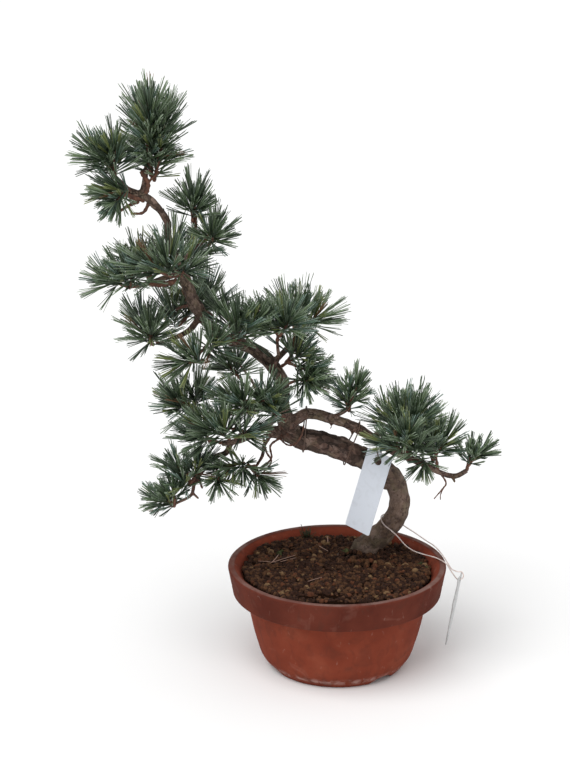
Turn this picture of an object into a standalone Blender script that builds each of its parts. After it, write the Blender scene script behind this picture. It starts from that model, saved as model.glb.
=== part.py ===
"""Japanese white pine bonsai: the whole tree, growing in its round clay pot.

Lengths are in metres, and MM turns a size in millimetres into metres. While the parts are
made, z = 0 is the pot's underside and the pot's axis is x = y = 0. At the end everything is
moved sideways so that the middle of the plant's own bounding box stands at x = y = 0.
"""
import math
import random
from collections import namedtuple

import bmesh
import bpy
import numpy as np
from mathutils import Matrix, Vector, noise

MM = 0.001
GAP = 0.3 * MM
WELD = 0.001 * MM
GOLDEN_ANGLE = math.radians(137.5)
SMOOTH_ANGLE = math.radians(40)

# Pot: a turned bowl with a rolled rim band and three arched notches in its foot ring
RIM_RADIUS = 110 * MM
POT_HEIGHT = 105 * MM
BAND_HEIGHT = 29.2 * MM
BAND_FOOT_RADIUS = 105 * MM
LIP_WIDTH = 12 * MM
BODY_RADIUS = 91.5 * MM
FOOT_RADIUS = 67 * MM
FOOT_RING_WIDTH = 13 * MM
FOOT_RECESS = 7 * MM
FLOOR_TOP = 14 * MM
WALL = 8 * MM
DRAIN_RADIUS = 9 * MM
NOTCH_RADIUS = 18 * MM
NOTCH_HEIGHT = 7 * MM
NOTCH_REACH = (40 * MM, 84 * MM)
NOTCH_TURNS = (77, 206, 309)
POT_SEGMENTS = 28
NOTCH_SEGMENTS = 28

# Soil: it fills the pot to a little below the lip. Away from the trunk its top is lumpy, with
# the rise, the size and the height of the lumps in millimetres, as are its rings of corners
SOIL_TOP = 97 * MM
SOIL_EDGE = 94 * MM
SOIL_SHOULDER = 8 * MM
SOIL_RINGS = (21, 42, 63)
SOIL_CALM = (37, 48)
SOIL_RISE = 2.2
SOIL_LUMP = 21
SOIL_LUMP_HEIGHT = 3.0

# Trunk: centreline and radius in millimetres, from under the soil to the growing tip
TRUNK_LINE = (
    (27, 38, 88, 17.5),
    (36, 42, 108, 13.6),
    (51, 40, 125, 11.6),
    (61, 37, 141, 10.9),
    (64, 33, 158, 10.4),
    (61, 30, 175, 10.4),
    (52, 27, 190, 10.7),
    (32, 22, 206, 11.1),
    (-13, 14, 227, 11.5),
    (-41, 10, 236, 10.2),
    (-55, 3, 264, 8.3),
    (-57, 0, 299, 6.9),
    (-79, 9, 323, 6.7),
    (-114, 7, 340, 5.5),
    (-136, -4, 368, 6.3),
    (-149, -12, 403, 5.6),
    (-163, -16, 440, 3.3),
    (-164, -17, 459, 3.4),
    (-181, -20, 480, 3.8),
    (-200, -21, 489, 3.0),
    (-213, -22, 503, 2.2),
)
TRUNK_RING_STEP = 17 * MM
TRUNK_SIDES = 10
# The sawn stub where the old leader was cut away
STUB_LINE = ((-36, 12, 233), (-54, 10, 239), (-70, 8, 241))
STUB_RADII = (9.6, 5.2)
# Surface roots: compass turn in degrees and reach from the trunk's foot
ROOTS = ((168, 27), (250, 22), (325, 24), (40, 23), (110, 24))
ROOT_RADII = (8.5, 1.6)

# Boughs: name, parent, centreline in millimetres, radius at the root and at the tip
Bough = namedtuple("Bough", "name parent line radii")
BOUGHS = (
    Bough("bough_apex", "trunk",
          ((-187, -20, 484), (-184, -18, 495), (-183, -15, 508)), (3.0, 2.4)),
    Bough("bough_upper_right", "trunk",
          ((-153, -14, 416), (-143, -10, 427), (-131, -6, 435)), (2.8, 1.8)),
    Bough("bough_upper_left", "trunk",
          ((-151, -12, 407), (-167, -12, 402), (-194, -14, 394), (-206, -15, 399)), (3.2, 1.9)),
    Bough("bough_mid_left", "trunk",
          ((-134, -2, 363), (-147, -5, 347), (-175, -8, 336)), (3.4, 2.0)),
    Bough("bough_mid_back", "trunk",
          ((-102, 9, 334), (-97, 30, 334), (-94, 44, 336)), (3.2, 2.2)),
    Bough("bough_mid_top", "trunk",
          ((-57, 0, 292), (-65, -11, 310), (-59, -13, 322), (-60, -13, 339)), (2.4, 1.7)),
    Bough("bough_mid_right", "trunk",
          ((-64, 5, 313), (-52, 16, 323), (-43, 26, 332)), (3.4, 2.2)),
    Bough("bough_low_west", "trunk",
          ((-56, 0, 276), (-82, 10, 264), (-109, 12, 259), (-130, 8, 260)), (4.0, 2.2)),
    Bough("bough_low_back", "trunk",
          ((-54, 2, 272), (-64, 26, 266), (-76, 42, 264)), (3.6, 2.2)),
    Bough("bough_lower_left", "trunk",
          ((-54, 2, 266), (-75, -10, 250), (-97, -16, 240), (-114, -19, 238)), (4.2, 2.8)),
    Bough("bough_lower_drop", "bough_lower_left",
          ((-105, -17, 238), (-111, -13, 226), (-124, -10, 219), (-141, -8, 195),
           (-146, -8, 180), (-162, -8, 171)), (3.1, 1.7)),
    Bough("bough_hanging", "trunk",
          ((-66, 8, 240), (-73, 0, 229), (-75, -4, 220), (-81, -6, 210)), (2.2, 1.5)),
    Bough("bough_right", "trunk",
          ((-47, 6, 249), (-39, 4, 257), (-30, 2, 262), (-21, 0, 262), (-13, -3, 260), (4, -7, 256),
           (21, -11, 249), (36, -13, 240), (52, -14, 229)), (5.8, 4.1)),
    Bough("bough_right_end", "bough_right",
          ((52.5, -14, 228.7), (81, -10, 215), (102, -6, 203), (117, -4, 199), (128, -2, 204)),
          (4.1, 2.4)),
    Bough("bough_right_twig", "bough_right",
          ((-8, -4, 259), (2, -11, 266), (8, -13, 270)), (2.6, 1.8)),
    Bough("bough_right_back", "bough_right",
          ((33, -13, 242), (45, 12, 241), (53, 28, 239)), (3.2, 2.2)),
)
BOUGH_RING_STEP = 14 * MM

# Masses of foliage: name, limb that carries it, place along that limb (1 is its tip), root of
# the main leafy shoot, which way the shoots lean, and then: length of a leafy shoot, number of
# shoots, spread of the side shoots and turn of the first one in degrees, and needle length
Mass = namedtuple("Mass", "name carrier at root lean leafy shoots spread turn needle")
MASSES = [Mass(*row) for row in (
    ("foliage_apex_right", "bough_apex", 1.0, (-174, -16, 493), (0, 0, 11), 64, 4, 11, 0, 33),
    ("foliage_apex_left", "trunk", 1.0, (-210, -27, 502), (-2, 0, 8), 20, 3, 24, 180, 32),
    ("foliage_apex_low", "trunk", 0.97, (-196, -38, 491), (-6, -1, 0), 14, 3, 50, 100, 31),
    ("foliage_upper_right_top", "bough_upper_right", 0.7, (-140, -12, 460), (2, 0, 8), 11, 2, 16, 180, 33),
    ("foliage_upper_right_side", "bough_upper_right", 1.0, (-124, -6, 432), (2, -1, 7), 15, 2, 50, 270, 32),
    ("foliage_upper_left_end", "bough_upper_left", 0.9, (-199, -20, 393), (-3, -1, 6), 15, 3, 45, 180, 34),
    ("foliage_upper_left_top", "bough_upper_left", 0.55, (-181, 2, 399), (0, 2, 8), 12, 2, 40, 180, 33),
    ("foliage_upper_front", "trunk", 0.775, (-160, -48, 412), (-1, -2, 8), 13, 3, 58, 180, 38),
    ("foliage_upper_back", "trunk", 0.78, (-164, 44, 405), (1, 5, 6), 18, 2, 50, 0, 38),
    ("foliage_mid_left", "bough_mid_left", 1.0, (-182, -12, 335), (0, -1, 8), 17, 3, 44, 130, 33),
    ("foliage_mid_left_back", "trunk", 0.72, (-161, 30, 340), (-1, 3, 8), 18, 2, 45, 0, 34),
    ("foliage_mid_front", "trunk", 0.655, (-131, -44, 324), (-3, -2, 5), 11, 3, 56, 200, 33),
    ("foliage_mid_centre", "trunk", 0.62, (-99, -30, 342), (1, -1, 8), 20, 3, 36, 0, 34),
    ("foliage_mid_top", "bough_mid_top", 1.0, (-58, -15, 347), (-1, -1, 8), 14, 3, 40, 180, 34),
    ("foliage_mid_right_back", "bough_mid_right", 1.0, (-42, 36, 338), (2, 2, 7), 18, 3, 42, 0, 37),
    ("foliage_mid_right", "trunk", 0.53, (-48, -12, 320), (5, -2, 3), 15, 3, 45, 180, 31),
    ("foliage_mid_right_low", "trunk", 0.5, (-35, -8, 301), (5, -2, 1), 10, 2, 45, 90, 28),
    ("foliage_mid_back", "bough_mid_back", 1.0, (-131, 62, 348), (0, 3, 8), 18, 2, 45, 180, 38),
    ("foliage_low_west", "bough_low_west", 1.0, (-146, 4, 261), (-4, -2, 5), 18, 3, 48, 0, 33),
    ("foliage_low_front", "trunk", 0.475, (-90, -44, 277), (-2, -2, 8), 14, 3, 48, 180, 33),
    ("foliage_low_right", "trunk", 0.43, (-61, -40, 272), (0, -2, 8), 8, 2, 34, 180, 30),
    ("foliage_low_back", "bough_low_back", 1.0, (-100, 50, 286), (0, 4, 7), 14, 2, 45, 180, 30),
    ("foliage_lower_front", "bough_lower_left", 0.55, (-109, -46, 250), (-1, -2, 8), 14, 3, 54, 180, 36),
    ("foliage_lower_front_left", "bough_lower_left", 1.0, (-127, -30, 242), (-7, -1, 3), 12, 2, 40, 0, 31),
    ("foliage_hanging", "bough_hanging", 1.0, (-94, -14, 216), (0, -5, -1), 10, 3, 66, 180, 28),
    ("foliage_low_left_top", "bough_lower_drop", 0.48, (-150, -14, 189), (-2, -1, 7), 15, 3, 42, 0, 29),
    ("foliage_low_drop", "bough_lower_drop", 0.3, (-119, -22, 204), (1, -6, -1), 7, 1, 40, 0, 26),
    ("foliage_low_left_end", "bough_lower_drop", 1.0, (-163, -10, 168), (-4, -1, 4), 9, 3, 46, 0, 26),
    ("foliage_right_near", "bough_right_twig", 1.0, (10, -16, 269), (-1, -1, 8), 18, 2, 22, 0, 28),
    ("foliage_right_front", "bough_right", 0.88, (76, -36, 231), (-4, -1, 7), 15, 3, 36, 180, 34),
    ("foliage_right_top", "bough_right_end", 0.15, (69, -6, 235), (0, 0, 8), 29, 3, 16, 0, 34),
    ("foliage_right_mid", "bough_right_end", 0.62, (92, -6, 217), (0, -1, 8), 17, 3, 28, 0, 32),
    ("foliage_right_low", "bough_right_end", 0.25, (84, -22, 222), (-1, -5, -4), 6, 1, 40, 0, 25),
    ("foliage_right_end", "bough_right_end", 1.0, (129, -3, 210), (1, -1, 7), 9, 2, 30, 0, 25),
    ("foliage_right_back", "bough_right_back", 1.0, (66, 46, 220), (2, 4, 6), 20, 3, 45, 0, 36),
)]
# A spray is a thin blade with long teeth, each tooth standing for a bundle of needles. Sprays
# open wide low on a shoot and close in at its tip, with the two openings in degrees
SPRAYS_PER_SHOOT = 2
SPRAYS_ON_LONE_SHOOT = 3
SPRAY_THICKNESS = 0.9 * MM
TEETH = (-1.5, -0.5, 0.5, 1.5)
TOOTH_WIDTH = 2.8 * MM
TOOTH_FAN = math.radians(15)
TOOTH_SPLIT = 0.5
SPRAY_TRIES = 8
OPENING_LOW = 76
OPENING_HIGH = 14
TEST_SHARES = (0.15, 0.3, 0.45, 0.6, 0.8, 1.0)
LONG_TRIES = 4
SHORT_SPRAY = 0.72
CORE_RADIUS = 4.2 * MM
CORE_OVERLAP = 0.12
TWIG_RADIUS = 1.3 * MM
SIDE_SHOOT_STEM = 9 * MM
SIDE_SHOOT_STEP = 0.16
SPACE_MARGIN = 1.2 * MM
LIMB_MARGIN = 0.6 * MM

# Name tag: a bare plate that hangs from the right bough by a wire through its hole
TAG_SIZE = (29 * MM, 0.8 * MM, 86 * MM)
TAG_HOLE_RADIUS = 4.4 * MM
HOLE_SEGMENTS = 14
TAG_HOLE_DROP = 9 * MM
TAG_HOLE_PLACE = (39.5, -2, 214)
TAG_DOWN = (-22, 3, -83)
TAG_ACROSS = (24, -17, -8.7)
# Lines on the tag and in front of it that needles keep clear of, in millimetres from its hole
TAG_CLEAR_ACROSS = (-11, -4, 4, 11)
TAG_CLEAR_DEPTHS = (0, 12, 24)
TAG_CLEAR_TOP = 6
TAG_CLEAR_FOOT = -72
TAG_CLEAR_RADIUS = 5 * MM

# Slip label: a pointed plastic strip on a string that is looped round the trunk
SLIP_OUTLINE = ((-4.5, 4.5), (4.5, 4.5), (4.5, -9), (7, -14), (7, -38), (2, -72), (-2, -72),
                (-7, -38), (-7, -14), (-4.5, -9))
SLIP_THICKNESS = 1.2 * MM
SLIP_HOLE_RADIUS = 2.2 * MM
SLIP_HOLE_PLACE = (124.5, 2.5, 86)
SLIP_FOOT_PLACE = (112, 0, 14)
SLIP_TURN = math.radians(68)
STRING_RADIUS = 0.6 * MM
STRING_STEP = 7 * MM
STRING_LOOP_RADIUS = 14.8
STRING_LOOP = ((-95, 130), (-130, 134.5), (-165, 138), (-200, 139.5), (-240, 139), (-280, 137),
               (-320, 133), (-350, 129))
STRING_OUT = ((81, 45, 120), (93, 43, 112), (100, 37, 109.3), (104, 30, 107.6), (108, 14, 107),
              (111.6, 3, 104), (116, 0, 98), (122, 2.5, 94.2), (126.5, 4.5, 93), (128.5, 4.5, 89))
STRING_BACK = ((127.2, 3.6, 86.2), (124.5, 2.5, 86), (121.6, 1, 86.8), (116, -3, 95.5),
               (109.5, -4.5, 105.8), (101.5, 8, 106.6), (95, 17, 105.3), (87, 26, 104.3),
               (78.7, 30, 106.1), (70.2, 27, 113.3), (61.8, 23.5, 124.5))

# Ties: loops of wire that draw the right bough down to the trunk
WIRE_RADIUS = 0.7 * MM
WIRE_STEP = 6 * MM
WIRE_SLACK = 1.3 * MM
TAG_WIRE_BEND = 3.6 * MM
TIE_RIGHT_PLACES = ((10, 17, 217), (19, -11, 249))
TIE_LEFT_PLACES = ((-34, 12, 233), (-32, 2, 261.5))
TAG_TIE_BOUGH_PLACE = (38, -13, 236)


def mm(*values):
    """A point given in millimetres, as a vector in metres."""
    return Vector(values) * MM


def clear_scene():
    for old in list(bpy.data.objects):
        bpy.data.objects.remove(old, do_unlink=True)


def new_collection(name):
    collection = bpy.data.collections.new(name)
    bpy.context.scene.collection.children.link(collection)
    return collection


def material(name, colour, roughness, metallic=0.0):
    made = bpy.data.materials.new(name)
    made.use_nodes = True
    shader = made.node_tree.nodes["Principled BSDF"]
    shader.inputs["Base Color"].default_value = (*colour, 1.0)
    shader.inputs["Roughness"].default_value = roughness
    shader.inputs["Metallic"].default_value = metallic
    made.diffuse_color = (*colour, 1.0)
    return made


def face_outwards(bm):
    bmesh.ops.recalc_face_normals(bm, faces=bm.faces)
    if bm.calc_volume(signed=True) < 0:
        bmesh.ops.reverse_faces(bm, faces=bm.faces)


def mesh_object(name, bm, collection, surface=None):
    """Turn a bmesh into a linked object and free it."""
    face_outwards(bm)
    mesh = bpy.data.meshes.new(name)
    bm.to_mesh(mesh)
    bm.free()
    made = bpy.data.objects.new(name, mesh)
    collection.objects.link(made)
    if surface:
        mesh.materials.append(surface)
    return made


def bake(obj, weld=0.0):
    """Replace an object by its evaluated mesh in world space, with vertices this close welded."""
    bpy.context.view_layer.update()
    evaluated = obj.evaluated_get(bpy.context.evaluated_depsgraph_get())
    mesh = bpy.data.meshes.new_from_object(evaluated)
    mesh.transform(obj.matrix_world)
    if weld:
        bm = bmesh.new()
        bm.from_mesh(mesh)
        bmesh.ops.remove_doubles(bm, verts=bm.verts, dist=weld)
        face_outwards(bm)
        bm.to_mesh(mesh)
        bm.free()
    baked = bpy.data.objects.new(obj.name, mesh)
    for owner in obj.users_collection:
        owner.objects.link(baked)
    name = obj.name
    bpy.data.objects.remove(obj, do_unlink=True)
    baked.name = name
    return baked


def empty_collection(collection):
    for item in list(collection.objects):
        bpy.data.objects.remove(item, do_unlink=True)
    bpy.data.collections.remove(collection)


def boolean(obj, operation, collection, solver="EXACT"):
    """Apply one Boolean with all objects of a collection, which are then removed."""
    step = obj.modifiers.new(operation.lower(), "BOOLEAN")
    step.operation = operation
    step.operand_type = "COLLECTION"
    step.collection = collection
    step.solver = solver
    result = bake(obj)
    empty_collection(collection)
    return result


def catmull_rom(points, step):
    """Smooth samples through the points, about one step apart, of any number of values each."""
    knots = [np.array(p, dtype=float) for p in points]
    knots = [2 * knots[0] - knots[1], *knots, 2 * knots[-1] - knots[-2]]
    samples = []
    for before, start, end, after in zip(knots, knots[1:], knots[2:], knots[3:]):
        count = max(1, round(float(np.linalg.norm((end - start)[:3])) * MM / step))
        for i in range(count):
            t = i / count
            samples.append(0.5 * (2 * start + (end - before) * t
                                  + (2 * before - 5 * start + 4 * end - after) * t ** 2
                                  + (3 * start - before - 3 * end + after) * t ** 3))
    samples.append(knots[-2])
    return samples


class Limb:
    """A smooth tapering centreline, with its radius at each sample."""

    def __init__(self, name, samples, sides):
        self.name = name
        self.places = [mm(*sample[:3]) for sample in samples]
        self.radii = [float(sample[3]) * MM for sample in samples]
        self.sides = sides
        steps = [(b - a).length for a, b in zip(self.places, self.places[1:])]
        self.marks = np.concatenate(([0.0], np.cumsum(steps)))

    def at(self, fraction):
        """Centre of the limb at a fraction of its length."""
        mark = fraction * self.marks[-1]
        i = min(int(np.searchsorted(self.marks, mark, side="right")) - 1, len(self.places) - 2)
        t = (mark - self.marks[i]) / (self.marks[i + 1] - self.marks[i])
        return self.places[i].lerp(self.places[i + 1], t)

    def fine_places(self):
        """Evenly spaced points along the centreline, a millimetre or so apart."""
        count = int(self.marks[-1] / MM)
        return [self.at(i / count) for i in range(count + 1)]

    def solid(self, collection, grow=0.0, surface=None):
        """A round tube along the limb. Growing it widens it all over and at its ends."""
        curve = bpy.data.curves.new(self.name, "CURVE")
        curve.dimensions = "3D"
        curve.use_fill_caps = True
        curve.bevel_depth = MM
        curve.bevel_resolution = self.sides // 2 - 2
        spline = curve.splines.new("POLY")
        places = [place.copy() for place in self.places]
        if grow:
            places[0] += (places[0] - places[1]).normalized() * grow
            places[-1] += (places[-1] - places[-2]).normalized() * grow
        spline.points.add(len(places) - 1)
        for point, place, radius in zip(spline.points, places, self.radii):
            point.co = (*place, 1.0)
            point.radius = (radius + grow) / MM
        made = bpy.data.objects.new(self.name, curve)
        collection.objects.link(made)
        made = bake(made, WELD)
        if surface:
            made.data.materials.append(surface)
        return made


def tapered(line, radii):
    """Centreline points with a radius that runs evenly from the first to the last."""
    steps = [math.dist(a, b) for a, b in zip(line, line[1:])]
    total = sum(steps)
    run = 0.0
    rows = []
    for i, point in enumerate(line):
        rows.append((*point, radii[0] + (radii[1] - radii[0]) * run / total))
        run += steps[i] if i < len(steps) else 0.0
    return rows


def root_line(turn, reach):
    """A surface root: out from inside the trunk's foot and down under the soil."""
    foot = Vector(TRUNK_LINE[0][:3])
    out = Vector((math.cos(math.radians(turn)), math.sin(math.radians(turn)), 0))
    soil = SOIL_TOP / MM
    return (tuple(foot + out * 2 + Vector((0, 0, 22))),
            tuple((foot + out * reach * 0.55).xy.to_3d() + Vector((0, 0, soil + 3))),
            tuple((foot + out * reach).xy.to_3d() + Vector((0, 0, soil - 3.5))))


def trunk_limbs():
    """The trunk, its stub and its surface roots, as limbs."""
    main = Limb("trunk", catmull_rom(TRUNK_LINE, TRUNK_RING_STEP), TRUNK_SIDES)
    stub = Limb("stub", catmull_rom(tapered(STUB_LINE, STUB_RADII), TRUNK_RING_STEP), TRUNK_SIDES)
    roots = [Limb("root", catmull_rom(tapered(root_line(turn, reach), ROOT_RADII), TRUNK_RING_STEP), 6)
             for turn, reach in ROOTS]
    return [main, stub, *roots]


def make_trunk(limbs, collection, surface):
    """The trunk with its root flare, cut flat at soil level."""
    main, *others = limbs
    trunk = main.solid(collection)
    joined = new_collection("trunk_extras")
    for limb in others:
        limb.solid(joined)
    trunk = boolean(trunk, "UNION", joined)
    below = new_collection("below_soil")
    bm = bmesh.new()
    depth = 60 * MM
    place = Matrix.Translation((0, 0, SOIL_TOP + GAP - depth / 2)) @ Matrix.Diagonal((0.4, 0.4, depth, 1))
    bmesh.ops.create_cube(bm, size=1.0, matrix=place)
    mesh_object("below", bm, below)
    trunk = boolean(trunk, "DIFFERENCE", below, solver="MANIFOLD")
    trunk.data.materials.append(surface)
    return trunk


def inner_wall():
    """The pot's inner wall from the lip down to the floor, as radius and height pairs."""
    return ((RIM_RADIUS - LIP_WIDTH, POT_HEIGHT - 5 * MM),
            (RIM_RADIUS - LIP_WIDTH - 2 * MM, SOIL_EDGE),
            (BODY_RADIUS - WALL, POT_HEIGHT - BAND_HEIGHT),
            (FOOT_RADIUS + 1 * MM, FLOOR_TOP + 9 * MM),
            (FOOT_RADIUS - 9 * MM, FLOOR_TOP))


def turned(name, profile, collection, surface):
    """A solid of revolution from a closed profile of radius and height pairs."""
    bm = bmesh.new()
    ring = [bm.verts.new((radius, 0, height)) for radius, height in profile]
    closing = [] if profile[0][0] == profile[-1][0] == 0 else [(ring[-1], ring[0])]
    for start, end in [*zip(ring, ring[1:]), *closing]:
        bm.edges.new((start, end))
    mesh = bpy.data.meshes.new(name)
    bm.to_mesh(mesh)
    bm.free()
    made = bpy.data.objects.new(name, mesh)
    collection.objects.link(made)
    turn = made.modifiers.new("turn", "SCREW")
    turn.steps = turn.render_steps = POT_SEGMENTS
    turn.use_merge_vertices = True
    turn.merge_threshold = WELD
    made = bake(made, WELD)
    made.data.materials.append(surface)
    return made


def make_pot(collection, surface):
    band_foot = POT_HEIGHT - BAND_HEIGHT
    outer = [(RIM_RADIUS - LIP_WIDTH + 4 * MM, POT_HEIGHT - 1 * MM),
             (RIM_RADIUS - 6 * MM, POT_HEIGHT),
             (RIM_RADIUS - 1.5 * MM, POT_HEIGHT - 0.5 * MM),
             (RIM_RADIUS, POT_HEIGHT - 3 * MM),
             (BAND_FOOT_RADIUS + 0.3 * MM, band_foot + 2 * MM),
             (BAND_FOOT_RADIUS - 1 * MM, band_foot),
             (BODY_RADIUS + 1 * MM, band_foot - 0.8 * MM),
             (BODY_RADIUS, band_foot - 5 * MM),
             (BODY_RADIUS - 7.5 * MM, POT_HEIGHT * 0.34),
             (BODY_RADIUS - 15 * MM, POT_HEIGHT * 0.11),
             (FOOT_RADIUS + 4 * MM, POT_HEIGHT * 0.03),
             (FOOT_RADIUS, 1 * MM),
             (FOOT_RADIUS - 1 * MM, 0)]
    under = [(FOOT_RADIUS - FOOT_RING_WIDTH, 0),
             (FOOT_RADIUS - FOOT_RING_WIDTH - 1 * MM, FOOT_RECESS),
             (DRAIN_RADIUS, FOOT_RECESS),
             (DRAIN_RADIUS, FLOOR_TOP)]
    pot = turned("pot", [*outer, *under, *reversed(inner_wall())], collection, surface)
    cutters = new_collection("notches")
    for turn in NOTCH_TURNS:
        bm = bmesh.new()
        out = Vector((math.cos(math.radians(turn)), math.sin(math.radians(turn)), 0))
        centre = Vector((0, 0, NOTCH_HEIGHT - NOTCH_RADIUS))
        near, far = (centre + out * reach for reach in NOTCH_REACH)
        cone_between(bm, near, far, NOTCH_RADIUS, NOTCH_RADIUS, NOTCH_SEGMENTS)
        mesh_object("notch", bm, cutters)
    return boolean(pot, "DIFFERENCE", cutters)


def soil_swell(x, y):
    """How far the lumpy soil rises above its level by the trunk, all in millimetres."""
    near, far = SOIL_CALM
    away = math.hypot(x - TRUNK_LINE[0][0], y - TRUNK_LINE[0][1])
    share = max(0.0, min(1.0, (away - near) / (far - near)))
    return share * (SOIL_RISE + SOIL_LUMP_HEIGHT * noise.noise(Vector((x, y, 0)) / SOIL_LUMP))


def make_soil(collection, surface):
    """The soil fills the pot, a hair clear of its wall and floor, level where the trunk stands."""
    side = [(radius - 1.5 * GAP, height + GAP) for radius, height in inner_wall()[1:]]
    rings = [0, *(radius * MM for radius in SOIL_RINGS), side[0][0] - SOIL_SHOULDER]
    top = [(radius, SOIL_TOP) for radius in rings]
    soil = turned("soil", [*top, *side, (0, FLOOR_TOP + GAP)], collection, surface)
    for vertex in soil.data.vertices:
        if vertex.co.z > SOIL_TOP - WELD:
            vertex.co.z += soil_swell(vertex.co.x / MM, vertex.co.y / MM) * MM
    return soil


def plate(bm, outline, thickness):
    """A flat plate with its outline in the X and Z directions, centred on y = 0."""
    face = bm.faces.new([bm.verts.new((x, -thickness / 2, z)) for x, z in outline])
    raised = bmesh.ops.extrude_face_region(bm, geom=[face])["geom"]
    corners = [part for part in raised if isinstance(part, bmesh.types.BMVert)]
    bmesh.ops.translate(bm, verts=corners, vec=(0, thickness, 0))


def pierced_plate(name, outline, thickness, hole_radius, place, collection, surface):
    """A plate with a round hole at its own origin, set in place."""
    bm = bmesh.new()
    plate(bm, outline, thickness)
    made = mesh_object(name, bm, collection)
    cutters = new_collection("hole")
    bm = bmesh.new()
    through = Vector((0, thickness * 3, 0))
    cone_between(bm, -through, through, hole_radius, hole_radius, HOLE_SEGMENTS)
    mesh_object("hole", bm, cutters)
    made = boolean(made, "DIFFERENCE", cutters)
    made.data.materials.append(surface)
    made.matrix_world = place
    return made


def frame_of(across, down, origin):
    """A placing matrix whose X runs across, whose Z runs up and whose origin is given."""
    up = -down.normalized()
    across = (across - up * across.dot(up)).normalized()
    turn = Matrix((across, up.cross(across), up)).transposed()
    return Matrix.Translation(origin) @ turn.to_4x4()


def tag_frame():
    return frame_of(Vector(TAG_ACROSS), Vector(TAG_DOWN), mm(*TAG_HOLE_PLACE))


def tag_clearance():
    """Lines with a radius that cover the tag and the space in front of it."""
    frame = tag_frame()
    lines = []
    for x in TAG_CLEAR_ACROSS:
        for depth in TAG_CLEAR_DEPTHS:
            ends = [frame @ (Vector((x, -depth, z)) * MM) for z in (TAG_CLEAR_TOP, TAG_CLEAR_FOOT)]
            lines.append((ends, TAG_CLEAR_RADIUS))
    return lines


def make_tag(collection, surface):
    width, thickness, length = TAG_SIZE
    top, corner = TAG_HOLE_DROP, 2 * MM
    half, foot = width / 2, TAG_HOLE_DROP - length
    outline = ((-half + corner, top), (half - corner, top), (half, top - corner), (half, foot + corner),
               (half - corner, foot), (-half + corner, foot), (-half, foot + corner), (-half, top - corner))
    return pierced_plate("name_tag", outline, thickness, TAG_HOLE_RADIUS, tag_frame(), collection, surface)


def make_slip(collection, surface):
    across = Vector((math.cos(SLIP_TURN), math.sin(SLIP_TURN), 0))
    down = mm(*SLIP_FOOT_PLACE) - mm(*SLIP_HOLE_PLACE)
    outline = [(x * MM, z * MM) for x, z in SLIP_OUTLINE]
    place = frame_of(across, down, mm(*SLIP_HOLE_PLACE))
    return pierced_plate("slip_label", outline, SLIP_THICKNESS, SLIP_HOLE_RADIUS, place, collection, surface)


def string_route(trunk):
    """Closed route of the label's string: round the trunk, over the rim and through the label."""
    loop = []
    for turn, height in STRING_LOOP:
        centre = next(place for place in trunk.fine_places() if place.z >= height * MM)
        out = Vector((math.cos(math.radians(turn)), math.sin(math.radians(turn)), 0))
        loop.append((centre + out * STRING_LOOP_RADIUS * MM) / MM)
    return [tuple(point) for point in loop] + list(STRING_OUT) + list(STRING_BACK)


def closed_tube(name, route, radius, step, collection, surface):
    """A closed loop of round wire or string through points in millimetres."""
    ring = [route[-1], *route, route[0], route[1]]
    samples = [mm(*sample[:3]) for sample in catmull_rom(ring, step)]
    first = mm(*route[0])
    half = range(len(samples) // 2)
    start = min(half, key=lambda i: (samples[i] - first).length)
    end = len(samples) - 1 - min(half, key=lambda i: (samples[-1 - i] - first).length)
    curve = bpy.data.curves.new(name, "CURVE")
    curve.dimensions = "3D"
    curve.bevel_depth = radius
    curve.bevel_resolution = 0
    spline = curve.splines.new("POLY")
    places = samples[start:end]
    spline.points.add(len(places) - 1)
    for point, place in zip(spline.points, places):
        point.co = (*place, 1.0)
    spline.use_cyclic_u = True
    made = bpy.data.objects.new(name, curve)
    collection.objects.link(made)
    made = bake(made, WELD)
    made.data.materials.append(surface)
    return made


def belt_route(centre_a, radius_a, centre_b, radius_b, across, corners=5):
    """Closed route of a wire drawn tight round two round limbs, in millimetres."""
    along = centre_b - centre_a
    apart = along.length
    along.normalize()
    across = (across - along * across.dot(along)).normalized()
    lean = math.asin((radius_a - radius_b) / apart)
    route = []
    for centre, radius, first, last in ((centre_a, radius_a, math.pi / 2 - lean, math.pi * 1.5 + lean),
                                        (centre_b, radius_b, -math.pi / 2 + lean, math.pi / 2 - lean)):
        for i in range(corners):
            turn = first + (last - first) * i / (corners - 1)
            route.append(tuple((centre + (along * math.cos(turn) + across * math.sin(turn)) * radius) / MM))
    return route


def nearest(limb, place):
    """The limb's centre, radius and direction where it passes nearest to a place."""
    centre = min(limb.fine_places(), key=lambda spot: (spot - place).length)
    i = min(range(len(limb.places) - 1), key=lambda k: (limb.places[k] - place).length)
    return centre, limb.radii[i], (limb.places[i + 1] - limb.places[i]).normalized()


def tie_routes(trunk, bough):
    """Routes of the two ties and of the tag's wire loop."""
    spare = WIRE_RADIUS + WIRE_SLACK
    routes = {}
    for name, (low, high) in (("tie_right", TIE_RIGHT_PLACES), ("tie_left", TIE_LEFT_PLACES)):
        low, thick, run = nearest(trunk, mm(*low))
        high, slim, _ = nearest(bough, mm(*high))
        routes[name] = belt_route(low, thick + spare, high, slim + spare, run.cross(high - low))
    hole = tag_frame()
    high, slim, run = nearest(bough, mm(*TAG_TIE_BOUGH_PLACE))
    hang = hole @ Vector((0, 0, TAG_HOLE_RADIUS - 3 * GAP - WIRE_RADIUS + TAG_WIRE_BEND))
    routes["tag_wire"] = belt_route(hang, TAG_WIRE_BEND, high, slim + spare, run.cross(high - hang))
    return routes


def cut_clear(obj, limbs, surface):
    """Cut an object back so that it stays a hair clear of the limbs that carry it."""
    cutters = new_collection("clear_of_parent")
    for limb in limbs:
        limb.solid(cutters, grow=GAP)
    cut = boolean(obj, "DIFFERENCE", cutters)
    if surface and not cut.data.materials:
        cut.data.materials.append(surface)
    return cut


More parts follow.
